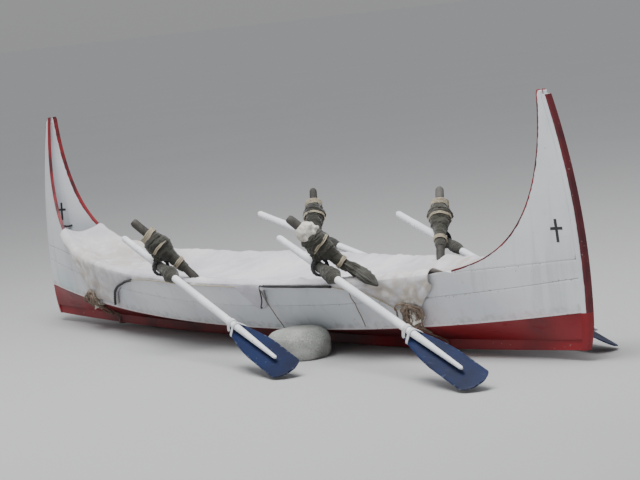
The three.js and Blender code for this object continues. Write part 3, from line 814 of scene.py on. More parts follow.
# %% Frames
FRAMES = {"forward": -1.120, "bow_thwart": -0.3835, "stern_thwart": 0.6615, "aft": 1.290}
FRAME_WIDTH = 0.032
FRAME_DEPTH = 0.030
FRAME_HEAD_BELOW_SHEER = 0.034
FRAME_STEPS = 9
FRAME_CLEAR = 0.0006
INSIDE_CORNER_RADIUS = 0.004
# Low in the hull the stems tuck in by about this much, so a rib's station is a little further out
FRAME_STATION_SHORT = 0.025


def frame_line(u, depth):
    """Points across the hull's section at a depth inside the planks, from head to head."""
    nodes = [seam_point(seam, u, depth) for seam in ("sheer", "bilge", "paint", "keel")]
    (y0, z0), (y1, z1) = nodes[0], nodes[1]
    share = FRAME_HEAD_BELOW_SHEER / (z0 - z1)
    nodes[0] = (lerp(y0, y1, share), lerp(z0, z1, share))
    half = []
    for (ya, za), (yb, zb) in zip(nodes, nodes[1:]):
        half += [(lerp(ya, yb, i / FRAME_STEPS), lerp(za, zb, i / FRAME_STEPS))
                 for i in range(FRAME_STEPS)]
    half.append(nodes[-1])
    return half + [(-y, z) for y, z in reversed(half)]


for word, x in FRAMES.items():
    u = (abs(x) + FRAME_WIDTH / 2) / (HALF_LENGTH - FRAME_STATION_SHORT)
    section = strip_section(FRAME_WIDTH, FRAME_DEPTH - FRAME_CLEAR, INSIDE_CORNER_RADIUS, rows=2)
    lines = {depth: frame_line(u, PLANK + FRAME_CLEAR + depth) for _, depth, _ in section}
    rings = []
    for i in range(len(next(iter(lines.values())))):
        rings.append([(x - FRAME_WIDTH / 2 + across, *lines[depth][i]) for across, depth, _ in section])
    piece = loft(f"rib_{word}", rings, BARE_WOOD, "hull")
    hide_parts(f"frame_{word}")
print("ribs", list(FRAMES))

# %% Thwarts
# Each board: its place along the boat, its width and the height of its top
THWARTS = {"bow_thwart": (-0.500, 0.200, 0.262), "stern_thwart": (0.545, 0.200, 0.262),
           "stern_seat": (1.425, 0.190, 0.318)}
THWART_THICKNESS = 0.024
THWART_STEPS = 16
THWART_CLEAR = 0.0007
THWART_WEAR = 0.0012
# At the thwarts' height the stems stand this much less far out than half the length
THWART_STATION_SHORT = 0.002

for word, (x, width, top) in THWARTS.items():
    rings = []
    for step in range(THWART_STEPS + 1):
        share = 2 * step / THWART_STEPS - 1
        ring = []
        for across, depth, _ in strip_section(width, THWART_THICKNESS, INSIDE_CORNER_RADIUS):
            px = x - width / 2 + across
            low = top - THWART_THICKNESS
            u = px / (HALF_LENGTH - THWART_STATION_SHORT)
            half = min(hull_half(u, low, PLANK), hull_half(u, top, PLANK)) - THWART_CLEAR
            wear = THWART_WEAR * noise.noise(Vector((px * 9, share * half * 6, 1.0)))
            ring.append((px, share * half, top - depth - max(0.0, wear)))
        rings.append(ring)
    piece = loft(f"{word}_board", rings, SEAT_WOOD, "hull")
    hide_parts(word)
print("thwarts", list(THWARTS))

# %% [markdown]
# ## Rope with Geometry Nodes
# A laid rope is three strands that turn round each other. A normal map could hint at that, but
# close up the outline would stay smooth. A geometry tree makes the strands from any curve: it moves
# three copies of the curve sideways by an angle that grows with the length, and gives each a round
# section. One tree then serves every rope, cord and lashing.

# %% Rope tree
STRANDS = 3
STRAND_SIDES = 7
STRAND_RADIUS = 0.52
STRAND_ASIDE = 0.5
STEPS_PER_LAY = 8.0
ROPE_INPUTS = {"Geometry": "NodeSocketGeometry", "Radius": "NodeSocketFloat", "Lay": "NodeSocketFloat",
               "Material": "NodeSocketMaterial"}


def rope_tree():
    """The tree that turns a curve into laid rope. Lay is the length of one full turn of a strand."""
    tree = bpy.data.node_groups.new("laid rope", "GeometryNodeTree")
    for word, kind in ROPE_INPUTS.items():
        tree.interface.new_socket(word, in_out="INPUT", socket_type=kind)
    tree.interface.new_socket("Geometry", in_out="OUTPUT", socket_type="NodeSocketGeometry")
    graph = Graph(tree)
    source = graph.node("NodeGroupInput")
    radius, lay = source.other("Radius"), source.other("Lay")
    inputs = {"Curve": source, "Length": lay / STEPS_PER_LAY}
    line = graph.node("GeometryNodeResampleCurve", {"mode": "LENGTH"}, inputs)
    length = graph.node("GeometryNodeSplineParameter").other("Length")
    tangent = graph.node("GeometryNodeInputTangent")
    normal = graph.node("GeometryNodeInputNormal")
    crossing = graph.node("ShaderNodeVectorMath", {"operation": "CROSS_PRODUCT"}, {0: tangent, 1: normal})
    inputs = {"Resolution": STRAND_SIDES, "Radius": radius * STRAND_RADIUS}
    ring = graph.node("GeometryNodeCurvePrimitiveCircle", None, inputs)
    join = tree.nodes.new("GeometryNodeJoinGeometry")
    for strand in range(STRANDS):
        angle = length / lay * (2 * math.pi) + strand * 2 * math.pi / STRANDS
        parts = []
        for axis, wave in ((normal, "COSINE"), (crossing, "SINE")):
            inputs = {0: axis, "Scale": angle.math(wave) * radius * STRAND_ASIDE}
            parts.append(graph.node("ShaderNodeVectorMath", {"operation": "SCALE"}, inputs))
        aside = graph.node("ShaderNodeVectorMath", {"operation": "ADD"}, {0: parts[0], 1: parts[1]})
        moved = graph.node("GeometryNodeSetPosition", None, {"Geometry": line, "Offset": aside})
        inputs = {"Curve": moved, "Profile Curve": ring, "Fill Caps": True}
        strand_mesh = graph.node("GeometryNodeCurveToMesh", None, inputs)
        tree.links.new(strand_mesh.socket, join.inputs["Geometry"])
    solid = graph.node("GeometryNodeRealizeInstances", None, {"Geometry": Link(graph, join.outputs[0])})
    smooth = graph.node("GeometryNodeSetShadeSmooth", None, {"Geometry": solid})
    inputs = {"Geometry": smooth, "Material": source.other("Material")}
    painted = graph.node("GeometryNodeSetMaterial", None, inputs)
    graph.feed(tree.nodes.new("NodeGroupOutput").inputs["Geometry"], painted)
    return tree


ROPE_TREE = rope_tree()
print("rope tree", len(ROPE_TREE.nodes), "nodes")

# %% [markdown]
# ## A rope along a line
# A rope's line is given by a few points and smoothed to a curve that passes through them all. The
# tree runs on that curve, and its result is kept as a plain mesh, so nothing is left to evaluate.

# %% Paths and ropes
LAY_PER_RADIUS = 7.0
THIN_CORD_LAY = 0.026


def smooth_path(points, step):
    """A Catmull-Rom line through the points, as evenly spaced vectors."""
    points = [Vector(p) for p in points]
    ends = [2 * points[0] - points[1], *points, 2 * points[-1] - points[-2]]
    line = []
    for a, b, c, d in zip(ends, ends[1:], ends[2:], ends[3:]):
        pieces = max(2, math.ceil((c - b).length / step))
        for i in range(pieces):
            t = i / pieces
            line.append(0.5 * (2 * b + (c - a) * t + (2 * a - 5 * b + 4 * c - d) * t * t
                               + (3 * b - a - 3 * c + d) * t ** 3))
    return line + [points[-1]]


def curve_of(lines):
    """One curve object with a straight-sided spline for each line."""
    data = bpy.data.curves.new("path", "CURVE")
    data.dimensions = "3D"
    for line in lines:
        spline = data.splines.new("POLY")
        spline.points.add(len(line) - 1)
        spline.points.foreach_set("co", [c for p in line for c in (*p, 1.0)])
    return linked("path", data)


def shaped_mesh(source):
    """A plain mesh of what an object's modifiers make of it."""
    graph = bpy.context.evaluated_depsgraph_get()
    return bpy.data.meshes.new_from_object(source.evaluated_get(graph), depsgraph=graph)


def rope(name, lines, radius, material, body="hull", lay=None):
    """Laid rope along one line, or along several that belong together."""
    path = curve_of([lines] if isinstance(lines[0], Vector) else lines)
    modifier = path.modifiers.new("rope", "NODES")
    modifier.node_group = ROPE_TREE
    values = {"Radius": radius, "Lay": lay or LAY_PER_RADIUS * radius, "Material": material}
    for item in ROPE_TREE.interface.items_tree:
        if item.in_out == "INPUT" and item.name in values:
            modifier[item.identifier] = values[item.name]
    bpy.context.view_layer.update()
    mesh = shaped_mesh(path)
    bpy.data.objects.remove(path)
    return keep_piece(name, mesh, body)


# %% [markdown]
# ## Sweeps
# Posts, cloth windings and oar shafts are all round things along a line, with a radius that
# changes along it and round it. A sweep carries one frame along the line without twisting it, and
# asks a function for the radius at each point.

# %% Sweep helper


def tangents(line):
    """The direction of a line at each of its points."""
    last = len(line) - 1
    return [(line[min(i + 1, last)] - line[max(i - 1, 0)]).normalized() for i in range(len(line))]


def line_length(line):
    return sum((b - a).length for a, b in zip(line, line[1:]))


def carried_frames(line):
    """A pair of directions square to the line at each point, turned as little as possible."""
    directions = tangents(line)
    start = UP if abs(directions[0].z) < 0.9 else Vector((1, 0, 0))
    normal = (start - directions[0] * start.dot(directions[0])).normalized()
    frames = []
    for tangent in directions:
        normal = (normal - tangent * normal.dot(tangent)).normalized()
        frames.append((normal, tangent.cross(normal)))
    return frames


def bumps(angle, round_scale, along):
    """Noise on a round piece: its scale round the piece, and its place along it."""
    return noise.noise(Vector((math.cos(angle) * round_scale, math.sin(angle) * round_scale, along)))


def sweep(name, line, radius, sides, material, body):
    """A closed skin round a line. radius gives its distance for a share of the length, an angle and
    the direction outwards."""
    rings = []
    for i, (place, (normal, crossing)) in enumerate(zip(line, carried_frames(line))):
        t = i / (len(line) - 1)
        ring = []
        for j in range(sides):
            angle = 2 * math.pi * j / sides
            out = normal * math.cos(angle) + crossing * math.sin(angle)
            ring.append(place + out * radius(t, angle, out))
        rings.append(ring)
    girth = 2 * math.pi * radius(0.5, 0.0, UP)
    return loft(name, rings, material, body, None, girth, line_length(line))


# %% [markdown]
# ## Where the oarlocks and oars are
# Each oarlock is a post that leans forward and outboard, with a ring of rope hung under it. The
# oar turns about the ring's middle. The resting dip is found by halving an interval until the
# blade's low edge is just above the ground, as in the solid model.

# %% Oarlock and oar lines
POST_INSIDE_RAIL = 0.041
POST_FOOT_RISE = 0.005
POST_STATION_SHORT = 0.001
POST_FORWARD = 0.200
POST_RISE = 0.300
POST_LEG = 0.084
POST_RADIUS = 0.017
LEG_INTO_WRAP = 0.002
RING_ALONG_POST = 0.6
RING_BELOW_POST = 0.110
OAR_RADIUS = 0.017
BLADE_LENGTH = 0.560
BLADE_WIDTH = 0.140
BLADE_THICKNESS = 0.012
BLADE_ROLL = math.radians(24)
SPINE_SHORT_OF_TIP = 0.110
BLADE_OFF_GROUND = 0.003
# End and side: x of the post's foot, outboard lean, oar inside the ring, oar outside it, and the
# degrees by which the resting oar trails outwards
LOCKS = {
    ("bow", "port"): (-0.174, 0.190, 0.430, 1.300, 12),
    ("bow", "starboard"): (-0.174, 0.190, 0.430, 1.300, 3),
    ("stern", "port"): (0.905, 0.220, 0.385, 1.284, 12),
    ("stern", "starboard"): (0.825, 0.220, 0.385, 1.284, -10),
}


def rest_dip(height, outboard):
    """The dip at which the rolled blade's low edge is just above the ground."""
    across = (0.40 * BLADE_WIDTH * math.sin(BLADE_ROLL)
              + (OAR_RADIUS + BLADE_THICKNESS) * math.cos(BLADE_ROLL))
    low, high = 0.0, 0.6
    for _ in range(40):
        dip = (low + high) / 2
        drop = outboard * math.sin(dip) + across * math.cos(dip)
        low, high = (dip, high) if height - drop > BLADE_OFF_GROUND else (low, dip)
    return low


class Lock:
    """The places of one oarlock and its oar."""

    def __init__(self, end, word, foot_x, lean_out, inboard, outboard, trail):
        self.name = f"{end}_{word}"
        self.side = SIDES[word]
        self.inboard = inboard
        self.outboard = outboard
        u = foot_x / (HALF_LENGTH - POST_STATION_SHORT)
        self.foot = Vector((foot_x, self.side * (sheer_half(u) - POST_INSIDE_RAIL),
                            sheer_height(u) + POST_FOOT_RISE))
        self.lean = Vector((-POST_FORWARD, self.side * lean_out, POST_RISE))
        leg_y = hull_half(u, self.foot.z - POST_LEG, PLANK) - POST_RADIUS + LEG_INTO_WRAP
        self.leg = Vector((foot_x, self.side * leg_y, self.foot.z - POST_LEG))
        self.pivot = self.foot + self.lean * RING_ALONG_POST - UP * RING_BELOW_POST
        self.dip = rest_dip(self.pivot.z, outboard)
        heading = math.radians(trail)
        self.ahead = Vector((math.cos(heading), self.side * math.sin(heading), 0))
        outward = self.ahead * math.cos(self.dip) - UP * math.sin(self.dip)
        across = Vector((self.side * math.sin(heading), -math.cos(heading), 0))
        up = outward.cross(across)
        up = up if up.z > 0 else -up
        basis = Matrix((outward, up.cross(outward), up)).transposed()
        turn = basis @ Matrix.Rotation(-self.side * BLADE_ROLL, 3, "X")
        self.oar = Matrix.Translation(self.pivot) @ turn.to_4x4()

    def on_oar(self, along, across=0.0, height=0.0):
        """A place on the oar, measured from the ring along the shaft."""
        return self.oar @ Vector((along, across, height))

    def on_post(self, share):
        """A place on the post's leaning part, from 0 at the gunwale to 1 at the head."""
        return self.foot + self.lean * share


locks = [Lock(*where, *sizes) for where, sizes in LOCKS.items()]
for lock in locks:
    print(lock.name, "ring at", [round(v, 4) for v in lock.pivot], "dip", round(math.degrees(lock.dip), 1))

# %% [markdown]
# ## Posts
# The posts are rough poles, dark from the weather. A pole is never round: its radius gets slow bumps
# and fine ones from noise, and its head is chamfered.

# %% Posts
POST_SIDES = 28


def rough_pole(seed):
    def radius(t, angle, out):
        lumps = bumps(angle, 0.9, t * 6 + seed)
        fine = bumps(angle, 4, t * 14 + seed)
        head = min(1.0, 0.72 + (1 - t) * 14) if t > 0.96 else 1.0
        return (0.0195 + 0.0030 * lumps + 0.0008 * fine) * head
    return radius


for number, lock in enumerate(locks):
    knee = lock.foot + Vector((0, 0, -0.012))
    line = smooth_path([lock.leg, lerp(lock.leg, knee, 0.6), knee, lock.on_post(0.10),
                        lock.on_post(0.55) + Vector((0.004, 0, 0.003)), lock.on_post(0.985)], 0.008)
    post = sweep(f"post_{lock.name}", line, rough_pole(7.3 * number), POST_SIDES, POST_WOOD, "hull")
    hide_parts(f"oarlock_post_{lock.name}")
print("posts", len(locks))

# %% [markdown]
# ## Wound cloth
# Olive cloth is wound round each post to hold the ring, and round the oar against chafe. It makes a
# fat, uneven bundle: thin at the post's foot, where the swung oar passes, and thick over the ring,
# where it sags down to the oar. A winding shows as overlapping turns, so the radius gets a sawtooth
# that climbs along the line as it goes round, on top of slow lumps and small creases.

# %% Cloth windings
WRAP_SIDES = 72
WRAP_STEP = 0.0032
# Radii along each winding, from its start at 0 to its end at 1
POST_WRAP = [(0.0, 0.0215), (0.07, 0.0245), (0.36, 0.0270), (0.52, 0.040), (0.72, 0.050), (0.88, 0.042),
             (0.96, 0.030), (1.0, 0.0215)]
OAR_WRAP = [(0.0, 0.0185), (0.06, 0.0208), (0.18, 0.0228), (0.30, 0.0230), (0.42, 0.0245), (0.55, 0.0290),
            (0.68, 0.0335), (0.78, 0.0340), (0.87, 0.0290), (0.95, 0.0215), (1.0, 0.0180)]
POST_WRAP_REACH = (0.17, 0.76)
OAR_WRAP_REACH = (-0.035, 0.165)
# The starboard oars rest close beside their posts, so less cloth is wound round them
OAR_WRAP_SHARE = {"port": 1.0, "starboard": 0.5}


def winding(profile, turns, seed, sag=0.0, ridge=0.005):
    """Radius of a winding: a core, a ridge that climbs with the turns, lumps, creases and a sag."""
    def radius(t, angle, out):
        core = table_value(profile, t)
        room = core - profile[0][1]
        phase = (angle / (2 * math.pi) + t * turns + 0.5 * noise.noise(Vector((t * 4, seed, 0)))) % 1.0
        fold = ridge * (1.0 - phase) ** 1.5 * (0.4 + 20 * room)
        lumps = bumps(angle, 1.3, t * 6 + seed)
        creases = 1.0 - abs(bumps(angle, 3.2, t * 26 + seed)) * 2.2
        low = max(0.0, -out.z) ** 2 * sag * room / 0.025
        return core + room * 0.45 * lumps + fold + (0.0010 + 0.12 * room) * creases + low - 0.001
    return radius


def straight(start, stop, step):
    """Evenly spaced points on a straight line."""
    count = max(2, math.ceil((stop - start).length / step))
    return [lerp(start, stop, i / count) for i in range(count + 1)]


for number, lock in enumerate(locks):
    start, stop = (lock.on_post(share) for share in POST_WRAP_REACH)
    wrap = sweep(f"post_wrap_{lock.name}", straight(start, stop, WRAP_STEP),
                 winding(POST_WRAP, 6.5, 3.1 * number + 0.7, sag=0.020), WRAP_SIDES, OLIVE_CLOTH, "hull")
    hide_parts(f"oarlock_wrap_{lock.name}")
    start, stop = (lock.on_oar(reach) for reach in OAR_WRAP_REACH)
    share = OAR_WRAP_SHARE["port" if lock.side < 0 else "starboard"]
    profile = [(t, lerp(OAR_RADIUS, size, share)) for t, size in OAR_WRAP]
    sleeve = sweep(f"oar_sleeve_{lock.name}", straight(start, stop, WRAP_STEP),
                   winding(profile, 7.5, 5.7 * number, ridge=0.004), WRAP_SIDES, OLIVE_CLOTH,
                   f"oar_{lock.name}")
print("windings", 2 * len(locks))

# %% [markdown]
# ## Loose ends, a rag and slumped cloth
# The ends of the post windings aren't tucked in: a torn strip hangs from each. A cream rag lies over
# the stern port one, and beside its post more olive cloth has slumped on to the cover. Rag and slump
# are crumpled rather than wound, so their radius comes from noise alone.

# %% Rag and slumped cloth
CRUMPLED_SIDES = 48
# Radii along the slumped cloth
SLUMP = [(0.0, 0.012), (0.15, 0.026), (0.45, 0.033), (0.75, 0.026), (1.0, 0.006)]
rag_lock = locks[2]


def rag_radius(t, angle, out):
    upper = 0.5 + 0.5 * out.z
    crumpled = abs(bumps(angle, 1.9, t * 3.2 + 3.3))
    fine = abs(bumps(angle, 4, t * 8))
    swell = math.sin(math.pi * min(1.0, max(0.0, t))) ** 0.6
    return 0.024 + swell * (0.014 + 0.020 * upper * (0.5 + crumpled) + 0.010 * crumpled + 0.005 * fine)


def slump_radius(t, angle, out):
    folds = abs(bumps(angle, 2.4, t * 1.6 + 8.1))
    creases = abs(bumps(angle, 5, t * 4.5))
    flattened = 1.0 + 0.35 * min(0.0, out.z)
    return table_value(SLUMP, t) * (0.72 + 0.85 * folds + 0.30 * creases) * flattened


rag_line = straight(rag_lock.on_post(0.60), rag_lock.on_post(0.84), WRAP_STEP)
sweep("rag_over_winding", rag_line, rag_radius, WRAP_SIDES, CREAM_CLOTH, "hull")
# From the winding's lower end out over the gunwale: along the boat, outboard and up from the foot
slump_line = smooth_path([rag_lock.on_post(0.26) + Vector((0.012, 0, 0))]
                         + [rag_lock.foot + Vector((along, rag_lock.side * out, up)) for along, out, up in (
                             (0.024, 0.032, 0.034), (0.090, 0.052, 0.012), (0.165, 0.060, -0.016))],
                         WRAP_STEP)
sweep("slumped_cloth", slump_line, slump_radius, CRUMPLED_SIDES, OLIVE_CLOTH, "hull")
print("slumped cloth is", round(line_length(slump_line), 3), "m long")

# %% Loose ends of the windings
TAIL_WIDTH = 0.034
TAIL_LENGTH = 0.070
TAIL_STEPS = 26
TAIL_HALF_THICK = 0.0009


def strip_of_cloth(name, line, wide, seed):
    """A torn strip along a line: a thin flat loft that ripples and narrows towards its end."""
    rings = []
    for i, (place, tangent) in enumerate(zip(line, tangents(line))):
        t = i / (len(line) - 1)
        thick = wide.cross(tangent)
        half = TAIL_WIDTH / 2 * (1 - 0.35 * t + 0.20 * noise.noise(Vector((t * 5, seed, 4.0))))
        ring = []
        for hand in (1, -1):
            for j in range(-4, 5):
                k = j * hand
                ripple = 0.0045 * math.sin(k * 0.9 + t * 7 + seed) * min(1.0, t * 3)
                ring.append(place + wide * (half * k / 4) + thick * (ripple + TAIL_HALF_THICK * hand))
        rings.append(ring)
    return loft(name, rings, OLIVE_CLOTH, "hull", None, 2 * TAIL_WIDTH, line_length(line))


for number, lock in enumerate(locks):
    start = lock.on_post(0.60) + Vector((0.010, -0.034 * lock.side, 0))
    drop = [start + Vector((along, -inboard * lock.side, -down)) for along, inboard, down in (
        (0, 0, 0), (0.006, 0.010, 0.020), (0.012, 0.010, 0.044), (0.016, 0.004, 0.066))]
    line = smooth_path(drop, TAIL_LENGTH / TAIL_STEPS)
    strip_of_cloth(f"wrap_tail_{lock.name}", line, lock.lean.normalized(), 2.3 * number)
print("a tail is", round(line_length(line), 3), "m long")

# %% [markdown]
# ## Rope rings
# A ring of black rope holds the oar, and a twisted strop hangs it from the wound post. Both turn
# with the oar, about the upright line through the ring.

# %% Rings, strops and cord bands
RING_RADIUS = 0.0365
RING_ROPE = 0.0070
RING_TURN_APART = 0.010
# Radii along the wad of cloth that hangs a ring from its post
STROP = [(0.0, 0.010), (0.12, 0.026), (0.5, 0.034), (0.88, 0.031), (1.0, 0.016)]
BAND_ROPE = 0.0030
BAND_CLIMB = 0.0066
# Cord bands on a winding: the share of the post's lean, the radius and the number of turns
BANDS = [(0.25, 0.0295, 3.0), (0.54, 0.0515, 2.0), (0.71, 0.0410, 4.0)]
CIRCLE_STEPS = 64


def circle_line(centre, first, second, radius, turns=1.0, climb=None):
    """Points round a circle, or along a helix when climb is given."""
    line = []
    count = round(CIRCLE_STEPS * turns)
    for i in range(count + 1):
        angle = 2 * math.pi * turns * i / count
        place = centre + first * (radius * math.cos(angle)) + second * (radius * math.sin(angle))
        line.append(place + climb * (i / count) if climb is not None else place)
    return line


def wad(seed):
    def radius(t, angle, out):
        folds = abs(bumps(angle, 1.9, t * 2.5 + seed))
        creases = abs(bumps(angle, 5, t * 9 + seed))
        return table_value(STROP, t) * (0.80 + 0.55 * folds + 0.22 * creases)
    return radius


for lock in locks:
    ring = circle_line(lock.pivot, UP, UP.cross(lock.ahead), RING_RADIUS)
    second = [p + lock.ahead * RING_TURN_APART for p in ring]
    grommet = rope(f"rope_ring_{lock.name}", [ring, second], RING_ROPE, BLACK_ROPE,
                   f"grommet_{lock.name}")
    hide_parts(f"oar_grommet_{lock.name}")
    line = straight(lock.pivot + UP * (RING_RADIUS - 0.012), lock.pivot + UP * (RING_BELOW_POST - 0.030),
                    0.0025)
    sweep(f"ring_strop_{lock.name}", line, wad(lock.pivot.x * 9 + lock.side), CRUMPLED_SIDES, OLIVE_CLOTH,
          f"grommet_{lock.name}")
    along = lock.lean.normalized()
    first = along.cross(UP).normalized()
    lines = []
    for share, radius, turns in BANDS:
        climb = along * (BAND_CLIMB * turns)
        coil = circle_line(lock.on_post(share), first, along.cross(first), radius, turns, climb)
        lines.append([p + along * 0.006 * noise.noise(p * 30) for p in coil])
    rope(f"cord_band_{lock.name}", lines, BAND_ROPE, PALE_ROPE, lay=THIN_CORD_LAY)
print("rings", len(locks))

# %% [markdown]
# ## Oars
# An oar here is a round white shaft that runs on over a navy blade as its spine, with white cord
# lashed round the blade's neck. The shaft is a sweep with a measured profile. The blade is a loft
# across its outline, thick in the middle and thin at the rim.

# %% Oar shafts
SHAFT_SIDES = 24
SHAFT_STATIONS = 150
SHAFT_UNEVEN = 0.018


def shaft_profile(lock):
    """(place, radius) pairs from the grip's end to the end of the spine on the blade."""
    neck = lock.outboard - BLADE_LENGTH
    tip = lock.outboard - SPINE_SHORT_OF_TIP
    return [(-lock.inboard, 0.0125), (-lock.inboard + 0.008, 0.0155), (-lock.inboard + 0.120, 0.0160),
            (-lock.inboard + 0.150, OAR_RADIUS), (neck, OAR_RADIUS), (neck + 0.05, 0.0165),
            (tip - 0.010, 0.0085), (tip, 0.0040)]


def shaved_shaft(profile, seed):
    def radius(t, angle, out):
        x = lerp(profile[0][0], profile[-1][0], t)
        uneven = noise.noise(Vector((x * 7, math.cos(angle), seed)))
        return table_value(profile, x) * (1 + SHAFT_UNEVEN * uneven)
    return radius


for number, lock in enumerate(locks):
    profile = shaft_profile(lock)
    line = [lock.on_oar(x) for x in np.linspace(profile[0][0], profile[-1][0], SHAFT_STATIONS)]
    shaft = sweep(f"shaft_{lock.name}", line, shaved_shaft(profile, number * 3.0), SHAFT_SIDES, OAR_WHITE,
                  f"oar_{lock.name}")
    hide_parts(f"oar_shaft_{lock.name}")
print("an oar is", round(line_length(line), 3), "m to the end of its spine")

# %% Oar blades
BLADE_NECK_HALF = 0.022
BLADE_SHOULDER_HALF = 0.062
BLADE_FULL_FROM = 0.300
BLADE_ROUND = 0.045
BLADE_THINS_FROM = 0.1
BLADE_TIP_SHARE = 0.55
BLADE_SIDES = 28
BLADE_HALF_THICK = BLADE_THICKNESS / 2
BLADE_STATIONS = [*np.linspace(0, BLADE_LENGTH - BLADE_ROUND, 44),
                  *np.linspace(BLADE_LENGTH - 0.040, BLADE_LENGTH, 9)]


def blade_half(x):
    """Half width of the blade at a distance from its neck."""
    if x < BLADE_FULL_FROM:
        s = x / BLADE_FULL_FROM
        return lerp(lerp(BLADE_NECK_HALF, BLADE_SHOULDER_HALF, s),
                    lerp(BLADE_SHOULDER_HALF, BLADE_WIDTH / 2, s), s)
    far = max(0.0, (x - (BLADE_LENGTH - BLADE_ROUND)) / BLADE_ROUND)
    return BLADE_WIDTH / 2 * (1 - 0.62 * far ** 2.2)


def blade_thickness(x):
    """Share of the full thickness, which falls from the shoulder to the tip."""
    share = max(0.0, (x - BLADE_THINS_FROM) / (BLADE_LENGTH - BLADE_THINS_FROM))
    return lerp(1.0, BLADE_TIP_SHARE, share)


def signed_power(value, power):
    return math.copysign(abs(value) ** power, value)


for lock in locks:
    rings, edge = [], []
    middle = -OAR_RADIUS - BLADE_HALF_THICK - CLOSE
    for x in BLADE_STATIONS:
        half, thick = blade_half(x), BLADE_HALF_THICK * blade_thickness(x)
        ring = []
        for j in range(BLADE_SIDES):
            angle = 2 * math.pi * j / BLADE_SIDES
            y, z = signed_power(math.cos(angle), 0.55), signed_power(math.sin(angle), 0.75)
            ring.append(lock.on_oar(lock.outboard - BLADE_LENGTH + x, y * half, middle + z * thick))
            edge.append(1.0 if abs(y) > 0.93 or x > BLADE_LENGTH - 0.004 else 0.0)
        rings.append(ring)
    blade = loft(f"blade_{lock.name}", rings, OAR_BLUE, f"oar_{lock.name}", {"edge": edge})
    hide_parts(f"oar_blade_{lock.name}")
print("points of a blade", len(blade.data.vertices))

# %% Lashings
# Each lashing: its distance from the blade's neck and its number of turns
LASHING_PLACES = [(0.016, 6), (0.062, 4)]
LASHING_CORD = 0.0021
LASHING_LAY = 0.020


def around(corners):
    """The outline that a tight cord takes round the given (y, z) corners: their convex hull."""
    corners = sorted(set(corners))
    halves = []
    for run in (corners, corners[::-1]):
        half = []
        for point in run:
            while len(half) > 1:
                (ay, az), (by, bz) = half[-2], half[-1]
                if (by - ay) * (point[1] - az) - (bz - az) * (point[0] - ay) > 0:
                    break
                half.pop()
            half.append(point)
        halves += half[:-1]
    return halves


for lock in locks:
    lines = []
    for start, turns in LASHING_PLACES:
        neck = lock.outboard - BLADE_LENGTH + start
        reach = OAR_RADIUS + LASHING_CORD
        circle = [(reach * math.cos(math.radians(d)), reach * math.sin(math.radians(d)))
                  for d in range(0, 360, 20)]
        low = -OAR_RADIUS - BLADE_THICKNESS - LASHING_CORD
        wide = blade_half(start) + 0.5 * LASHING_CORD
        blade = [(y, z) for y in (-wide, wide) for z in (low + 0.003, low + BLADE_THICKNESS)]
        blade += [(-0.7 * wide, low), (0.7 * wide, low)]
        outline = around(circle + blade)
        count = turns * len(outline) + 1
        points = []
        for i in range(count):
            y, z = outline[i % len(outline)]
            points.append(lock.on_oar(neck + 2 * LASHING_CORD * i / len(outline), y, z))
        lines.append(smooth_path(points, 0.003))
    rope(f"lashing_{lock.name}", lines, LASHING_CORD, OAR_WHITE, f"oar_{lock.name}",
         lay=LASHING_LAY)
print("lashings on each oar", len(LASHING_PLACES))

# %% [markdown]
# ## Cloth cover
# A white cloth lies over the open hull, from the bow wings to past the stern thwart. It is folded
# over both gunwales, hangs lower where its corners are pulled down and tied, and has one loose flap
# on the port side. Pleats run out from every place where it is pulled: the four ties and the four
# posts. They are drawn first, as ridges round each of those places, because a tie draws far more
# cloth together than a short simulation could.

# %% Cover shape
COVER_FROM = -0.835
COVER_TO = 0.65
COVER_SAG = 0.020
# The hem's height above the ground by station, and the loose flap's edge on the port side
COVER_HEM = [(-0.835, 0.490), (-0.78, 0.420), (-0.72, 0.280), (-0.685, 0.172), (-0.60, 0.160),
             (-0.548, 0.150), (-0.515, 0.225), (-0.48, 0.257), (-0.42, 0.288), (-0.357, 0.308),
             (-0.26, 0.316), (-0.10, 0.312), (0.093, 0.312), (0.188, 0.316), (0.39, 0.318),
             (0.445, 0.304), (0.482, 0.286), (0.515, 0.254), (0.55, 0.214), (0.595, 0.202),
             (0.62, 0.256), (0.65, 0.322)]
FLAP = [(0.096, 1.0), (0.106, 0.250), (0.124, 0.196), (0.160, 0.216), (0.176, 0.290), (0.190, 1.0)]
COVER_COLUMNS = 160
COVER_ROWS = 34
# Across the cover, the top reaches to the rail's share and the skirt starts at the face's share
RAIL_SHARE = 0.62
FACE_SHARE = 0.70
RAIL_ROUND = 0.014
CLOTH_STAND = 0.006
# Each tie's station and the height of its knot
TIES = {"bow": (-0.685, 0.196), "stern": (0.585, 0.232)}


def hem_height(u, side):
    height = table_value(COVER_HEM, u)
    if side < 0 and FLAP[0][0] < u < FLAP[-1][0]:
        height = min(height, table_value(FLAP, u))
    return height


def rail_half(u):
    """Half breadth of the edge that carries the cover, which is a wing board's near the ends."""
    flare = 0.0
    if abs(u) > WING_START - 0.05:
        flare = wing_lean(u) * (sheer_height(u) - strake_top(u)) + 0.0008
    return sheer_half(u) + flare


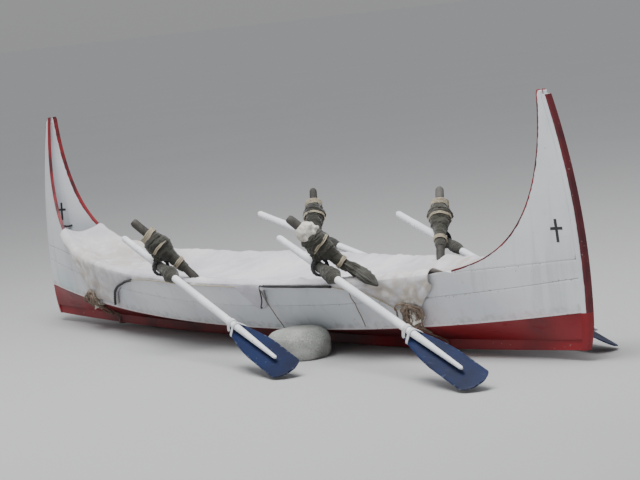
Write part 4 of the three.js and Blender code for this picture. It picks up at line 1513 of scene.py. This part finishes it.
def cover_point(u, share, side):
    """(y, z) of the cover on one side, from the middle at share 0 to the hem at share 1."""
    rail, top = rail_half(u), sheer_height(u)
    if share <= RAIL_SHARE:
        out = share / RAIL_SHARE
        sag = COVER_SAG * (1 - out ** 3) * min(1.0, rail / 0.25)
        return (rail - RAIL_ROUND) * out, top + CLOTH_STAND - sag
    if share <= FACE_SHARE:
        angle = math.radians(90 * (share - RAIL_SHARE) / (FACE_SHARE - RAIL_SHARE))
        return (rail - RAIL_ROUND + (RAIL_ROUND + 0.002 + CLOTH_STAND) * math.sin(angle),
                top - RAIL_ROUND + (RAIL_ROUND + CLOTH_STAND) * math.cos(angle))
    low = min(hem_height(u, side), top - RAIL_ROUND - 0.002)
    z = lerp(top - RAIL_ROUND, low, (share - FACE_SHARE) / (1 - FACE_SHARE))
    return hull_half(u, z) + CLOTH_STAND + 0.003, z


def cover_place(u, share, side):
    y, z = cover_point(u, share, side)
    return Vector((u * stem_x(min(z, sheer_height(u))), side * y, z))


def beside_hull(u, z, side, out):
    """A place at a distance outside the hull, at a station and a height."""
    return Vector((u * stem_x(z), side * (hull_half(u, z) + out), z))


# %% Pleats and crumples
# Where the cloth is pulled together: the place, its reach, the depth of the pleats and their number
PULLS = [(beside_hull(u, z, side, 0.0), 0.20, 0.017, 15) for side in SIDES.values() for u, z in TIES.values()]
TIE_PULLS = len(PULLS)
PULLS += [(lock.foot.copy(), 0.24, 0.017, 9) for lock in locks]
PULLS += [(Vector((u * HALF_LENGTH, side * rail_half(u), sheer_height(u))), 0.11, 0.010, 7)
          for side in SIDES.values() for u in (-0.40, 0.09, 0.20, 0.33, 0.44)]
PLEAT_LIMIT = 0.026
# Three sizes of crumple: its scale along, across and up, its depth and its seed
CRUMPLES = [((3.4, 2.0, 3.0), 0.0085, 1.0), ((7.5, 5.0, 7.0), 0.0050, 6.0),
            ((17.0, 12.0, 16.0), 0.0022, 9.0)]


def pleats(place):
    """Height of the pleats at a place, outwards from the cloth."""
    total = 0.0
    for number, (centre, reach, depth, count) in enumerate(PULLS):
        away = place - centre
        distance = away.length
        if distance > 2.2 * reach:
            continue
        angle = math.atan2(away.z + abs(away.y) * 0.8, away.x)
        wander = 0.9 * noise.noise(Vector((angle * 1.5, distance * 9, number * 5.0)))
        ridge = 1.0 - abs(math.sin(0.5 * count * angle + wander * 2.0 + number))
        total += depth * ridge ** 1.4 * math.exp(-(distance / reach) ** 2) * min(1.0, distance / 0.05)
    broad = noise.noise(Vector((place.x * 5.5, place.y * 3.5, place.z * 7 + 1.7)))
    return min(PLEAT_LIMIT, total) + 0.006 * (broad + 0.45)


def crumple(place):
    """Sharp little crests, broad and fine, as cloth keeps them after it has lain folded."""
    crests = 0.0
    for scale, depth, seed in CRUMPLES:
        value = abs(noise.noise(Vector([p * k for p, k in zip(place, scale)]) + Vector((seed, seed, 0))))
        crests += depth * max(0.0, 1.0 - 3.2 * value) ** 1.6
    return crests


print("pulls", len(PULLS))

# %% Cover mesh
# The share of the pleats' height that is left at the hem, and where they start to fade
HEM_CALM = 0.35
HEM_CALM_FROM = 0.86

grid, flat, firm, calm = [], [], [], []
for i in range(COVER_COLUMNS + 1):
    u = lerp(COVER_FROM, COVER_TO, i / COVER_COLUMNS)
    row = []
    for j in range(-COVER_ROWS, COVER_ROWS + 1):
        side = -1 if j < 0 else 1
        row.append(cover_place(u, abs(j) / COVER_ROWS, side))
    grid.append(row)
    along = 0.0
    lengths = [0.0]
    for a, b in zip(row, row[1:]):
        along += (b - a).length
        lengths.append(along)
    flat.append([(row[COVER_ROWS].x, v - lengths[COVER_ROWS]) for v in lengths])
width = 2 * COVER_ROWS + 1
points = []
for i, row in enumerate(grid):
    for j, place in enumerate(row):
        ahead = grid[min(i + 1, COVER_COLUMNS)][j] - grid[max(i - 1, 0)][j]
        across = row[min(j + 1, width - 1)] - row[max(j - 1, 0)]
        out = ahead.cross(across).normalized()
        share = abs(j - COVER_ROWS) / COVER_ROWS
        calm.append(1.0 - (1.0 - HEM_CALM) * max(0.0, (share - HEM_CALM_FROM) / (1 - HEM_CALM_FROM)))
        points.append(place + out * pleats(place) * calm[-1])
        firm.append(1.0 if share > RAIL_SHARE - 0.03 else 0.0)
faces = []
for i in range(COVER_COLUMNS):
    for j in range(2 * COVER_ROWS):
        a = i * width + j
        faces.append((a, a + 1, a + width + 1, a + width))
flat_points = [pair for row in flat for pair in row]
corners = [flat_points[v] for face in faces for v in face]
cover = add_piece("cover", points, faces, COVER_CLOTH, "hull", {"calm": calm}, corners)
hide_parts("cloth_cover")
print("cover", len(points), "points")

# %% [markdown]
# ## Letting the cover hang
# Between the gunwales the cloth hangs free. Its rest length is made a little longer than the drawn
# one, and a short cloth simulation lets it sag and buckle by itself. The rails and skirts are
# pinned, so the drawn pleats stay. The result is applied and smoothed, and nothing is left to run.

# %% Cloth simulation
SLACK = 0.014
HANG_FRAMES = 22


def hang(piece, weights, slack, frames):
    """Simulates the piece as cloth with its weighted points pinned, and keeps the last frame's shape."""
    group = piece.vertex_groups.new(name="firm")
    for number, weight in enumerate(weights):
        if weight > 0.0:
            group.add([number], weight, "REPLACE")
    modifier = piece.modifiers.new("cloth", "CLOTH")
    settings = modifier.settings
    settings.quality = 6
    settings.mass = 0.25
    settings.tension_stiffness = 20
    settings.compression_stiffness = 20
    settings.shear_stiffness = 6
    settings.bending_stiffness = 0.08
    settings.air_damping = 2.0
    settings.shrink_min = -slack
    settings.vertex_group_mass = "firm"
    modifier.collision_settings.use_collision = False
    modifier.point_cache.frame_start = 1
    modifier.point_cache.frame_end = frames
    scene = bpy.context.scene
    for frame_number in range(1, frames + 1):
        scene.frame_set(frame_number)
    graph = bpy.context.evaluated_depsgraph_get()
    shaped = piece.evaluated_get(graph).to_mesh()
    places = [v.co.copy() for v in shaped.vertices]
    piece.evaluated_get(graph).to_mesh_clear()
    piece.modifiers.remove(modifier)
    piece.vertex_groups.remove(group)
    scene.frame_set(1)
    for vertex, place in zip(piece.data.vertices, places):
        vertex.co = place
    print("cloth hangs down to", round(min(place.z for place in places), 3))


hang(cover, firm, SLACK, HANG_FRAMES)

# %% Finer cloth
# Crumples lower than this height get painted shade in their hollows
FOLD_SHADE_HEIGHT = 0.0022
CLOTH_THICKNESS = 0.0025

smoothing = cover.modifiers.new("smoothing", "SUBSURF")
smoothing.levels = 1
mesh = shaped_mesh(cover)
cover.modifiers.remove(smoothing)
cover.data = mesh
outward = 1.0 if sum(v.normal.z for v in mesh.vertices) > 0 else -1.0
soil, valley, moved = [], [], []
for vertex, steady in zip(mesh.vertices, mesh.attributes["calm"].data):
    height = crumple(vertex.co) * steady.value
    moved.append(vertex.co + vertex.normal * (outward * height))
    near = min((vertex.co - centre).length / (1.6 * reach) for centre, reach, _, _ in PULLS[:TIE_PULLS])
    soil.append(math.exp(-near ** 2))
    # Painted shade: 1 in the hollows between the crumples, stronger near the ties; the finish darkens the
    # cloth there.
    valley.append(max(0.0, 1.0 - height / FOLD_SHADE_HEIGHT) * (0.4 + 0.6 * soil[-1]))
for vertex, place in zip(mesh.vertices, moved):
    vertex.co = place
for mark, values in (("soil", soil), ("valley", valley)):
    mesh.attributes.new(mark, "FLOAT", "POINT").data.foreach_set("value", values)
solidify = cover.modifiers.new("thickness", "SOLIDIFY")
solidify.thickness = CLOTH_THICKNESS
solidify.offset = 0.0

# %% [markdown]
# ## Hem ropes, ties and knots
# The cover's hem has a rope in it, thick and black where it crosses the open side and thin
# elsewhere. Brown rope passes under the keel and up to a knot at each corner, where the surplus
# rope hangs in a hank of loops and the cloth's corner sticks out below in a crumpled tuft.

# %% Lying on the cloth
ROPE_PATH_STEP = 0.005
# A ray that first meets cloth this near the middle has missed the cloth on its own side
NEAR_MIDDLE = 0.02

cloth_tree = BVHTree.FromPolygons([v.co for v in cover.data.vertices],
                                  [tuple(face.vertices) for face in cover.data.polygons])


def on_cloth(place, side, stand):
    """Moves a place out from the hull until it stands off the cloth, where there is cloth."""
    far = Vector((place.x, side, place.z))
    hit = cloth_tree.ray_cast(far, Vector((0, -side, 0)))[0]
    if hit is None or hit.y * side < NEAR_MIDDLE:
        return place
    return Vector((place.x, side * max(side * place.y, side * hit.y + stand), place.z))


def laid(points, side, stand):
    """A line laid on the cloth, smoothed afterwards so that it spans the little hollows."""
    places = [on_cloth(point, side, stand) for point in points]
    outs = [max(side * q.y for q in places[max(0, k - 2):k + 3]) for k in range(len(places))]
    return smooth_path([Vector((q.x, side * (0.5 * side * q.y + 0.5 * out), q.z))
                        for q, out in zip(places, outs)], ROPE_PATH_STEP)


print("faces of the cloth to lie on", len(cover.data.polygons))

# %% Hem ropes and side cords
# Stretches of the hem, as stations: with black rope, and with thin cord on each side
BLACK_HEM = [(-0.548, -0.375), (0.190, 0.398)]
THIN_HEM = {"port": [(-0.375, 0.096), (0.398, 0.560)], "starboard": [(-0.375, 0.190), (0.398, 0.560)]}
FLAP_HEM = (0.146, 0.1895)
HEM_STEP = 0.02
# Radius of each rope, how far it stands off the cloth and how far it runs above the hem
HEM_ROPE = (0.0068, 0.0055, 0.006)
HEM_CORD = (0.0026, 0.0020, 0.004)
FLAP_CORD = (0.0032, 0.0024, 0.004)
SIDE_CORD = 0.0024
# Cords that hang down the hull's side: the station and the height of the lower end
SIDE_CORDS = [(0.176, 0.100), (0.436, 0.135)]


def hem_line(start, stop, side, size):
    """A line on the cloth along the hem, a little above its edge."""
    _, stand, rise = size
    count = max(4, round((stop - start) * HALF_LENGTH / HEM_STEP))
    points = []
    for i in range(count + 1):
        u = lerp(start, stop, i / count)
        points.append(beside_hull(u, hem_height(u, side) + rise, side, 0.010))
    return laid(points, side, stand)


for word, side in SIDES.items():
    black = [hem_line(start, stop, side, HEM_ROPE) for start, stop in BLACK_HEM]
    rope(f"hem_rope_{word}", black, HEM_ROPE[0], BLACK_ROPE)
    thin = [hem_line(start, stop, side, HEM_CORD) for start, stop in THIN_HEM[word]]
    rope(f"hem_cord_{word}", thin, HEM_CORD[0], PALE_ROPE, lay=THIN_CORD_LAY)
rope("flap_cord", hem_line(*FLAP_HEM, SIDES["port"], FLAP_CORD), FLAP_CORD[0], BLACK_ROPE)

for word, side in SIDES.items():
    lines = []
    for u, low in SIDE_CORDS:
        points = []
        for z in np.linspace(hem_height(0.2, side) + 0.004, low, 8):
            wave = 0.010 * noise.noise(Vector((z * 25, u * 9, side)))
            points.append(beside_hull(u + wave / HALF_LENGTH, z, side, 0.006))
        lines.append(laid(points, side, 0.002))
    rope(f"side_cord_{word}", lines, SIDE_CORD, BROWN_ROPE)
print("black hem rope", [round(line_length(line), 2) for line in black])

# %% Ties
# A tie runs outside the cloth from its knot to the hem, then on the planks and round the keel
TIE_ROPE = 0.0038

for word, (u, knot_height) in TIES.items():
    hem = hem_height(u, SIDES["starboard"])
    half = [(hull_half(u, z) + 0.017, z) for z in (knot_height, hem - 0.006)]
    half += [(hull_half(u, z) + 0.0064, z - 0.002) for z in (hem - 0.014, seam_point("paint", u)[1])]
    half += [(KEEL_HALF_WIDTH + 0.009, keel_bottom(u) + KEEL_HEIGHT - 0.005),
             (KEEL_HALF_WIDTH + 0.0055, keel_bottom(u) + 0.002), (0.016, keel_bottom(u) - 0.0040)]
    x = u * stem_x(0.100)
    points = [(x, -y, z) for y, z in half] + [(x, y, z) for y, z in reversed(half)]
    line = smooth_path(points, 0.006)
    tie = rope(f"tie_{word}", line, TIE_ROPE, BROWN_ROPE)
    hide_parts(f"cover_tie_{word}")
    print("tie", word, "is", round(line_length(line), 2), "m long")

# %% Knots, hanks and tufts
HANK_LOOPS = 11
HANK_STEPS = 24
KNOT_ROPE = 0.0044
KNOT_LAY = 0.036
KNOT_RADIUS = 0.017
KNOT_TURNS = 4.0
KNOT_STEPS = 20
TUFT_SIDES = 40


def hank_line(u, z, side, seed):
    """One loop of the hank: an uneven oval that hangs from the knot against the hull."""
    wide = 0.026 + 0.060 * abs(noise.noise(Vector((seed, 1.0, side))))
    tall = 0.038 + 0.062 * abs(noise.noise(Vector((seed, 2.0, side))))
    lean = 1.5 * noise.noise(Vector((seed, 3.0, side)))
    line = []
    for i in range(HANK_STEPS + 1):
        angle = 2 * math.pi * i / HANK_STEPS
        dx = wide * math.sin(angle)
        dz = -tall * (1 - math.cos(angle)) * 0.9
        x_turn = dx * math.cos(lean) - dz * math.sin(lean)
        z_turn = dx * math.sin(lean) + dz * math.cos(lean)
        out = 0.016 * math.sin(angle / 2) + 0.016 * noise.noise(Vector((seed, angle, 0)))
        place = beside_hull(u + x_turn / HALF_LENGTH, max(0.03, z + z_turn), side, 0.008)
        line.append(on_cloth(place, side, 0.004) + Vector((0, side * (0.012 + out), 0)))
    return smooth_path(line, ROPE_PATH_STEP)


def knot_line(centre, side):
    """Turns round a knot, each tipped a little differently."""
    line = []
    for i in range(round(KNOT_TURNS * KNOT_STEPS) + 1):
        angle = 2 * math.pi * i / KNOT_STEPS
        tip = 0.8 * math.sin(angle / KNOT_TURNS + 1.0)
        flat_out = Vector((math.cos(angle), side * 0.55 * math.sin(angle + tip), 0.55 * math.sin(angle)))
        line.append(centre + flat_out * KNOT_RADIUS)
    return smooth_path(line, 0.004)


def loose_end(u, z, side, seed, reach, drift):
    """A rope end that hangs down from the knot and drifts aside by the station's share."""
    line = []
    for t in (i / 5 for i in range(6)):
        sway = 0.030 * noise.noise(Vector((t * 3, seed, u * 3))) + drift * t
        line.append(beside_hull(u + sway / HALF_LENGTH, max(0.02, z - 0.01 - reach * t), side,
                                0.026 - 0.012 * t))
    return smooth_path(line, ROPE_PATH_STEP)


def tuft(seed):
    """The gathered corner of the cloth: narrow where the tie holds it, wide and crumpled below."""
    def radius(t, angle, out):
        waist = 0.012 + 0.030 * abs(t - 0.35) ** 1.2
        return waist * (0.75 + 0.95 * abs(bumps(angle, 2.4, t * 5 + seed))
                        + 0.35 * abs(bumps(angle, 6, t * 9 + seed)))
    return radius


for end_word, (u, z) in TIES.items():
    for word, side in SIDES.items():
        centre = on_cloth(beside_hull(u, z, side, 0.027), side, 0.014)
        lines = [hank_line(u, z, side, 4.7 * k + u * 10) for k in range(HANK_LOOPS)]
        lines.append(knot_line(centre, side))
        lines.append(loose_end(u, z, side, 0.0, reach=0.085, drift=-0.026))
        lines.append(loose_end(u, z, side, 7.0, reach=0.120, drift=0.022))
        rope(f"knot_{end_word}_{word}", lines, KNOT_ROPE, BROWN_ROPE, lay=KNOT_LAY)
        low = beside_hull(u + 0.008, z - 0.070, side, 0.020)
        top = beside_hull(u - 0.002, z + 0.030, side, 0.014)
        sweep(f"tuft_{end_word}_{word}", straight(top, low, 0.003), tuft(u * 7 + side), TUFT_SIDES,
              CREAM_CLOTH, "hull")
print("lines in each knot", len(lines))

# %% [markdown]
# ## Crosses and the bow rope
# A small black cross is painted on each stern board outside and on each bow board inside, with a
# brush, so its bars are a little uneven. A short black rope joins the two bow boards.

# %% Crosses
CROSS_HEIGHT = 0.094
CROSS_WIDTH = 0.052
CROSS_BAR = 0.012
CROSS_UNEVEN = 0.0016
PAINT_THICKNESS = 0.0008
# Each cross: its end of the boat, its station and height, and whether it is on the board's outside
CROSSES = [("stern", 0.952, 0.545, True), ("bow", 0.955, 0.600, False)]
# Faces between the outline's corners, by their numbers
CROSS_FACES = [(0, 1, 2, 11), (2, 3, 4, 5), (5, 6, 7, 8), (8, 9, 10, 11), (2, 5, 8, 11)]


def cross_outline():
    """The outline of a cross about its middle, as (along the boat, up)."""
    half, wide, top, low = CROSS_BAR / 2, CROSS_WIDTH / 2, 0.40 * CROSS_HEIGHT, -0.60 * CROSS_HEIGHT
    corners = [(-half, low), (half, low), (half, -half), (wide, -half), (wide, half), (half, half),
               (half, top), (-half, top), (-half, half), (-wide, half), (-wide, -half), (-half, -half)]
    return [(x + CROSS_UNEVEN * noise.noise(Vector((x * 90, z * 90, 1))),
             z + CROSS_UNEVEN * noise.noise(Vector((x * 90, z * 90, 5)))) for x, z in corners]


for end_word, middle_u, middle_z, outside in CROSSES:
    face, outwards = (0.0, -1) if outside else (WING_PLANK, 1)
    for word, side in SIDES.items():
        points = []
        for depth in (face + outwards * PAINT_THICKNESS, face - outwards * PAINT_THICKNESS):
            for along, up in cross_outline():
                u = middle_u + along / HALF_LENGTH
                points.append(wing_point(ENDS[end_word], side, u, middle_z + up, depth))
        count = len(points) // 2
        faces = CROSS_FACES + [tuple(v + count for v in reversed(quad)) for quad in CROSS_FACES]
        faces += [(k, k + count, (k + 1) % count + count, (k + 1) % count) for k in range(count)]
        add_piece(f"cross_{end_word}_{word}", points, faces, CROSS_PAINT, "hull",
                  marks={"edge": [0.0] * len(points)})
print("crosses", len(CROSSES) * len(SIDES))

# %% Bow rope
BOW_ROPE = 0.0054
BOW_ROPE_SAG = 0.012
BOW_ROPE_DEPTH = WING_PLANK - 0.002

start = Vector(wing_point(ENDS["bow"], SIDES["starboard"], 0.924, 0.513, BOW_ROPE_DEPTH))
stop = Vector(wing_point(ENDS["bow"], SIDES["port"], 0.962, 0.546, BOW_ROPE_DEPTH))
middle = lerp(start, stop, 0.5) - UP * BOW_ROPE_SAG
bow_line = smooth_path([start, lerp(start, middle, 0.55) - UP * (BOW_ROPE_SAG / 2), middle, stop], 0.004)
rope("bow_rope", bow_line, BOW_ROPE, BLACK_ROPE)
print("the bow rope is", round(line_length(bow_line), 2), "m long")

# %% [markdown]
# ## Chock stones
# Two rounded stones, one under each bilge, keep the hull upright. A ball is pressed into a rounded
# block, made uneven with noise, flattened on its underside, and pushed clear of the planks.

# %% Stones
STONE_PLACES = {"port": (0.520, -0.345, 0.050), "starboard": (0.300, 0.345, 0.050)}
STONE_HALF = (0.150, 0.125, 0.088)
STONE_POWER = 2.5
STONE_CLEAR = 0.0008

for word, side in SIDES.items():
    build = bmesh.new()
    bmesh.ops.create_icosphere(build, subdivisions=6, radius=1.0)
    for vertex in build.verts:
        p = vertex.co.copy()
        size = sum(abs(c) ** STONE_POWER for c in p) ** (1 / STONE_POWER)
        lump = 1 + 0.04 * math.sin(3 * p.x + 2 * p.y + side) + 0.03 * math.cos(4 * p.y - 3 * p.z)
        lump += 0.012 * noise.noise(p * 3.5)
        x, y, z = (STONE_PLACES[word][k] + STONE_HALF[k] * p[k] * lump / size for k in range(3))
        z = max(0.0005, z)
        clear = hull_half(x / stem_x(z), z) + STONE_CLEAR
        y = side * max(side * y, clear)
        vertex.co = (x, y, z)
    bmesh.ops.recalc_face_normals(build, faces=build.faces)
    mesh = bpy.data.meshes.new(f"stone_{word}")
    build.to_mesh(mesh)
    build.free()
    mesh.shade_smooth()
    mesh.materials.append(STONE)
    stone = keep_piece(f"stone_{word}", mesh, "hull")
    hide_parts(f"chock_stone_{word}")
print("points of a stone", len(mesh.vertices))

# %% [markdown]
# ## Floor and light
# The boat stands on a plain grey floor in soft light, as under a cloudy sky: one wide lamp above, a
# weaker one from the camera's side and a pale surround. The floor reaches far past the picture.

# %% Floor
FLOOR_REACH = 400
FLOOR_BELOW = 0.001

mesh = bpy.data.meshes.new("floor")
corners = [(-1, -1), (1, -1), (1, 1), (-1, 1)]
mesh.from_pydata([(FLOOR_REACH * x, FLOOR_REACH * y, -FLOOR_BELOW) for x, y in corners], [], [(0, 1, 2, 3)])
ground = Finish("grey floor")
shade = ground.mix(ground.noise(0.6, detail=2), (0.40, 0.40, 0.40), (0.43, 0.43, 0.43))
mesh.materials.append(ground.finish(shade, 0.9))
floor = linked("floor", mesh)
floor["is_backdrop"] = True
print("floor is", 2 * FLOOR_REACH, "m wide")

# %% Light
SURROUND_STRENGTH = 0.88
LAMP_SIZE = 5.0


def soft_lamp(name, place, aim, power):
    data = bpy.data.lights.new(name, "AREA")
    data.shape = "DISK"
    data.size = LAMP_SIZE
    data.energy = power
    lamp = linked(name, data)
    lamp.matrix_world = look_from(Vector(place), Vector(aim), Vector((0, 1, 0.01)))


soft_lamp("sky lamp", (0.8, -1.6, 7.0), (0, 0, 0.3), 740)
soft_lamp("fill lamp", (6.0, -8.0, 3.5), (0, 0, 0.4), 45)

# The surround is as bright at the horizon as the far floor, and brighter overhead
world = bpy.data.worlds.new("surround")
world.use_nodes = True
sky = Graph(world.node_tree)
up = sky.node("ShaderNodeSeparateXYZ", None, {0: sky.node("ShaderNodeTexCoord", output="Generated")}, "Z")
stops = [(0.0, (0.358, 0.360, 0.363)), (0.06, (0.380, 0.383, 0.388)), (1.0, (0.95, 0.97, 1.0))]
background = world.node_tree.nodes["Background"]
sky.feed(background.inputs["Color"], sky.node("ShaderNodeValToRGB", {"stops": stops}, {"Fac": up}))
sky.feed(background.inputs["Strength"], SURROUND_STRENGTH)
bpy.context.scene.world = world
print("lamps", len(bpy.data.lights))

# %% [markdown]
# ## Size and finish
# The dressed boat has to keep the solid model's size, so its box is printed.

# %% Size and finish
low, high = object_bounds()
print("visual", [round(v, 3) for v in (*low, *high)])
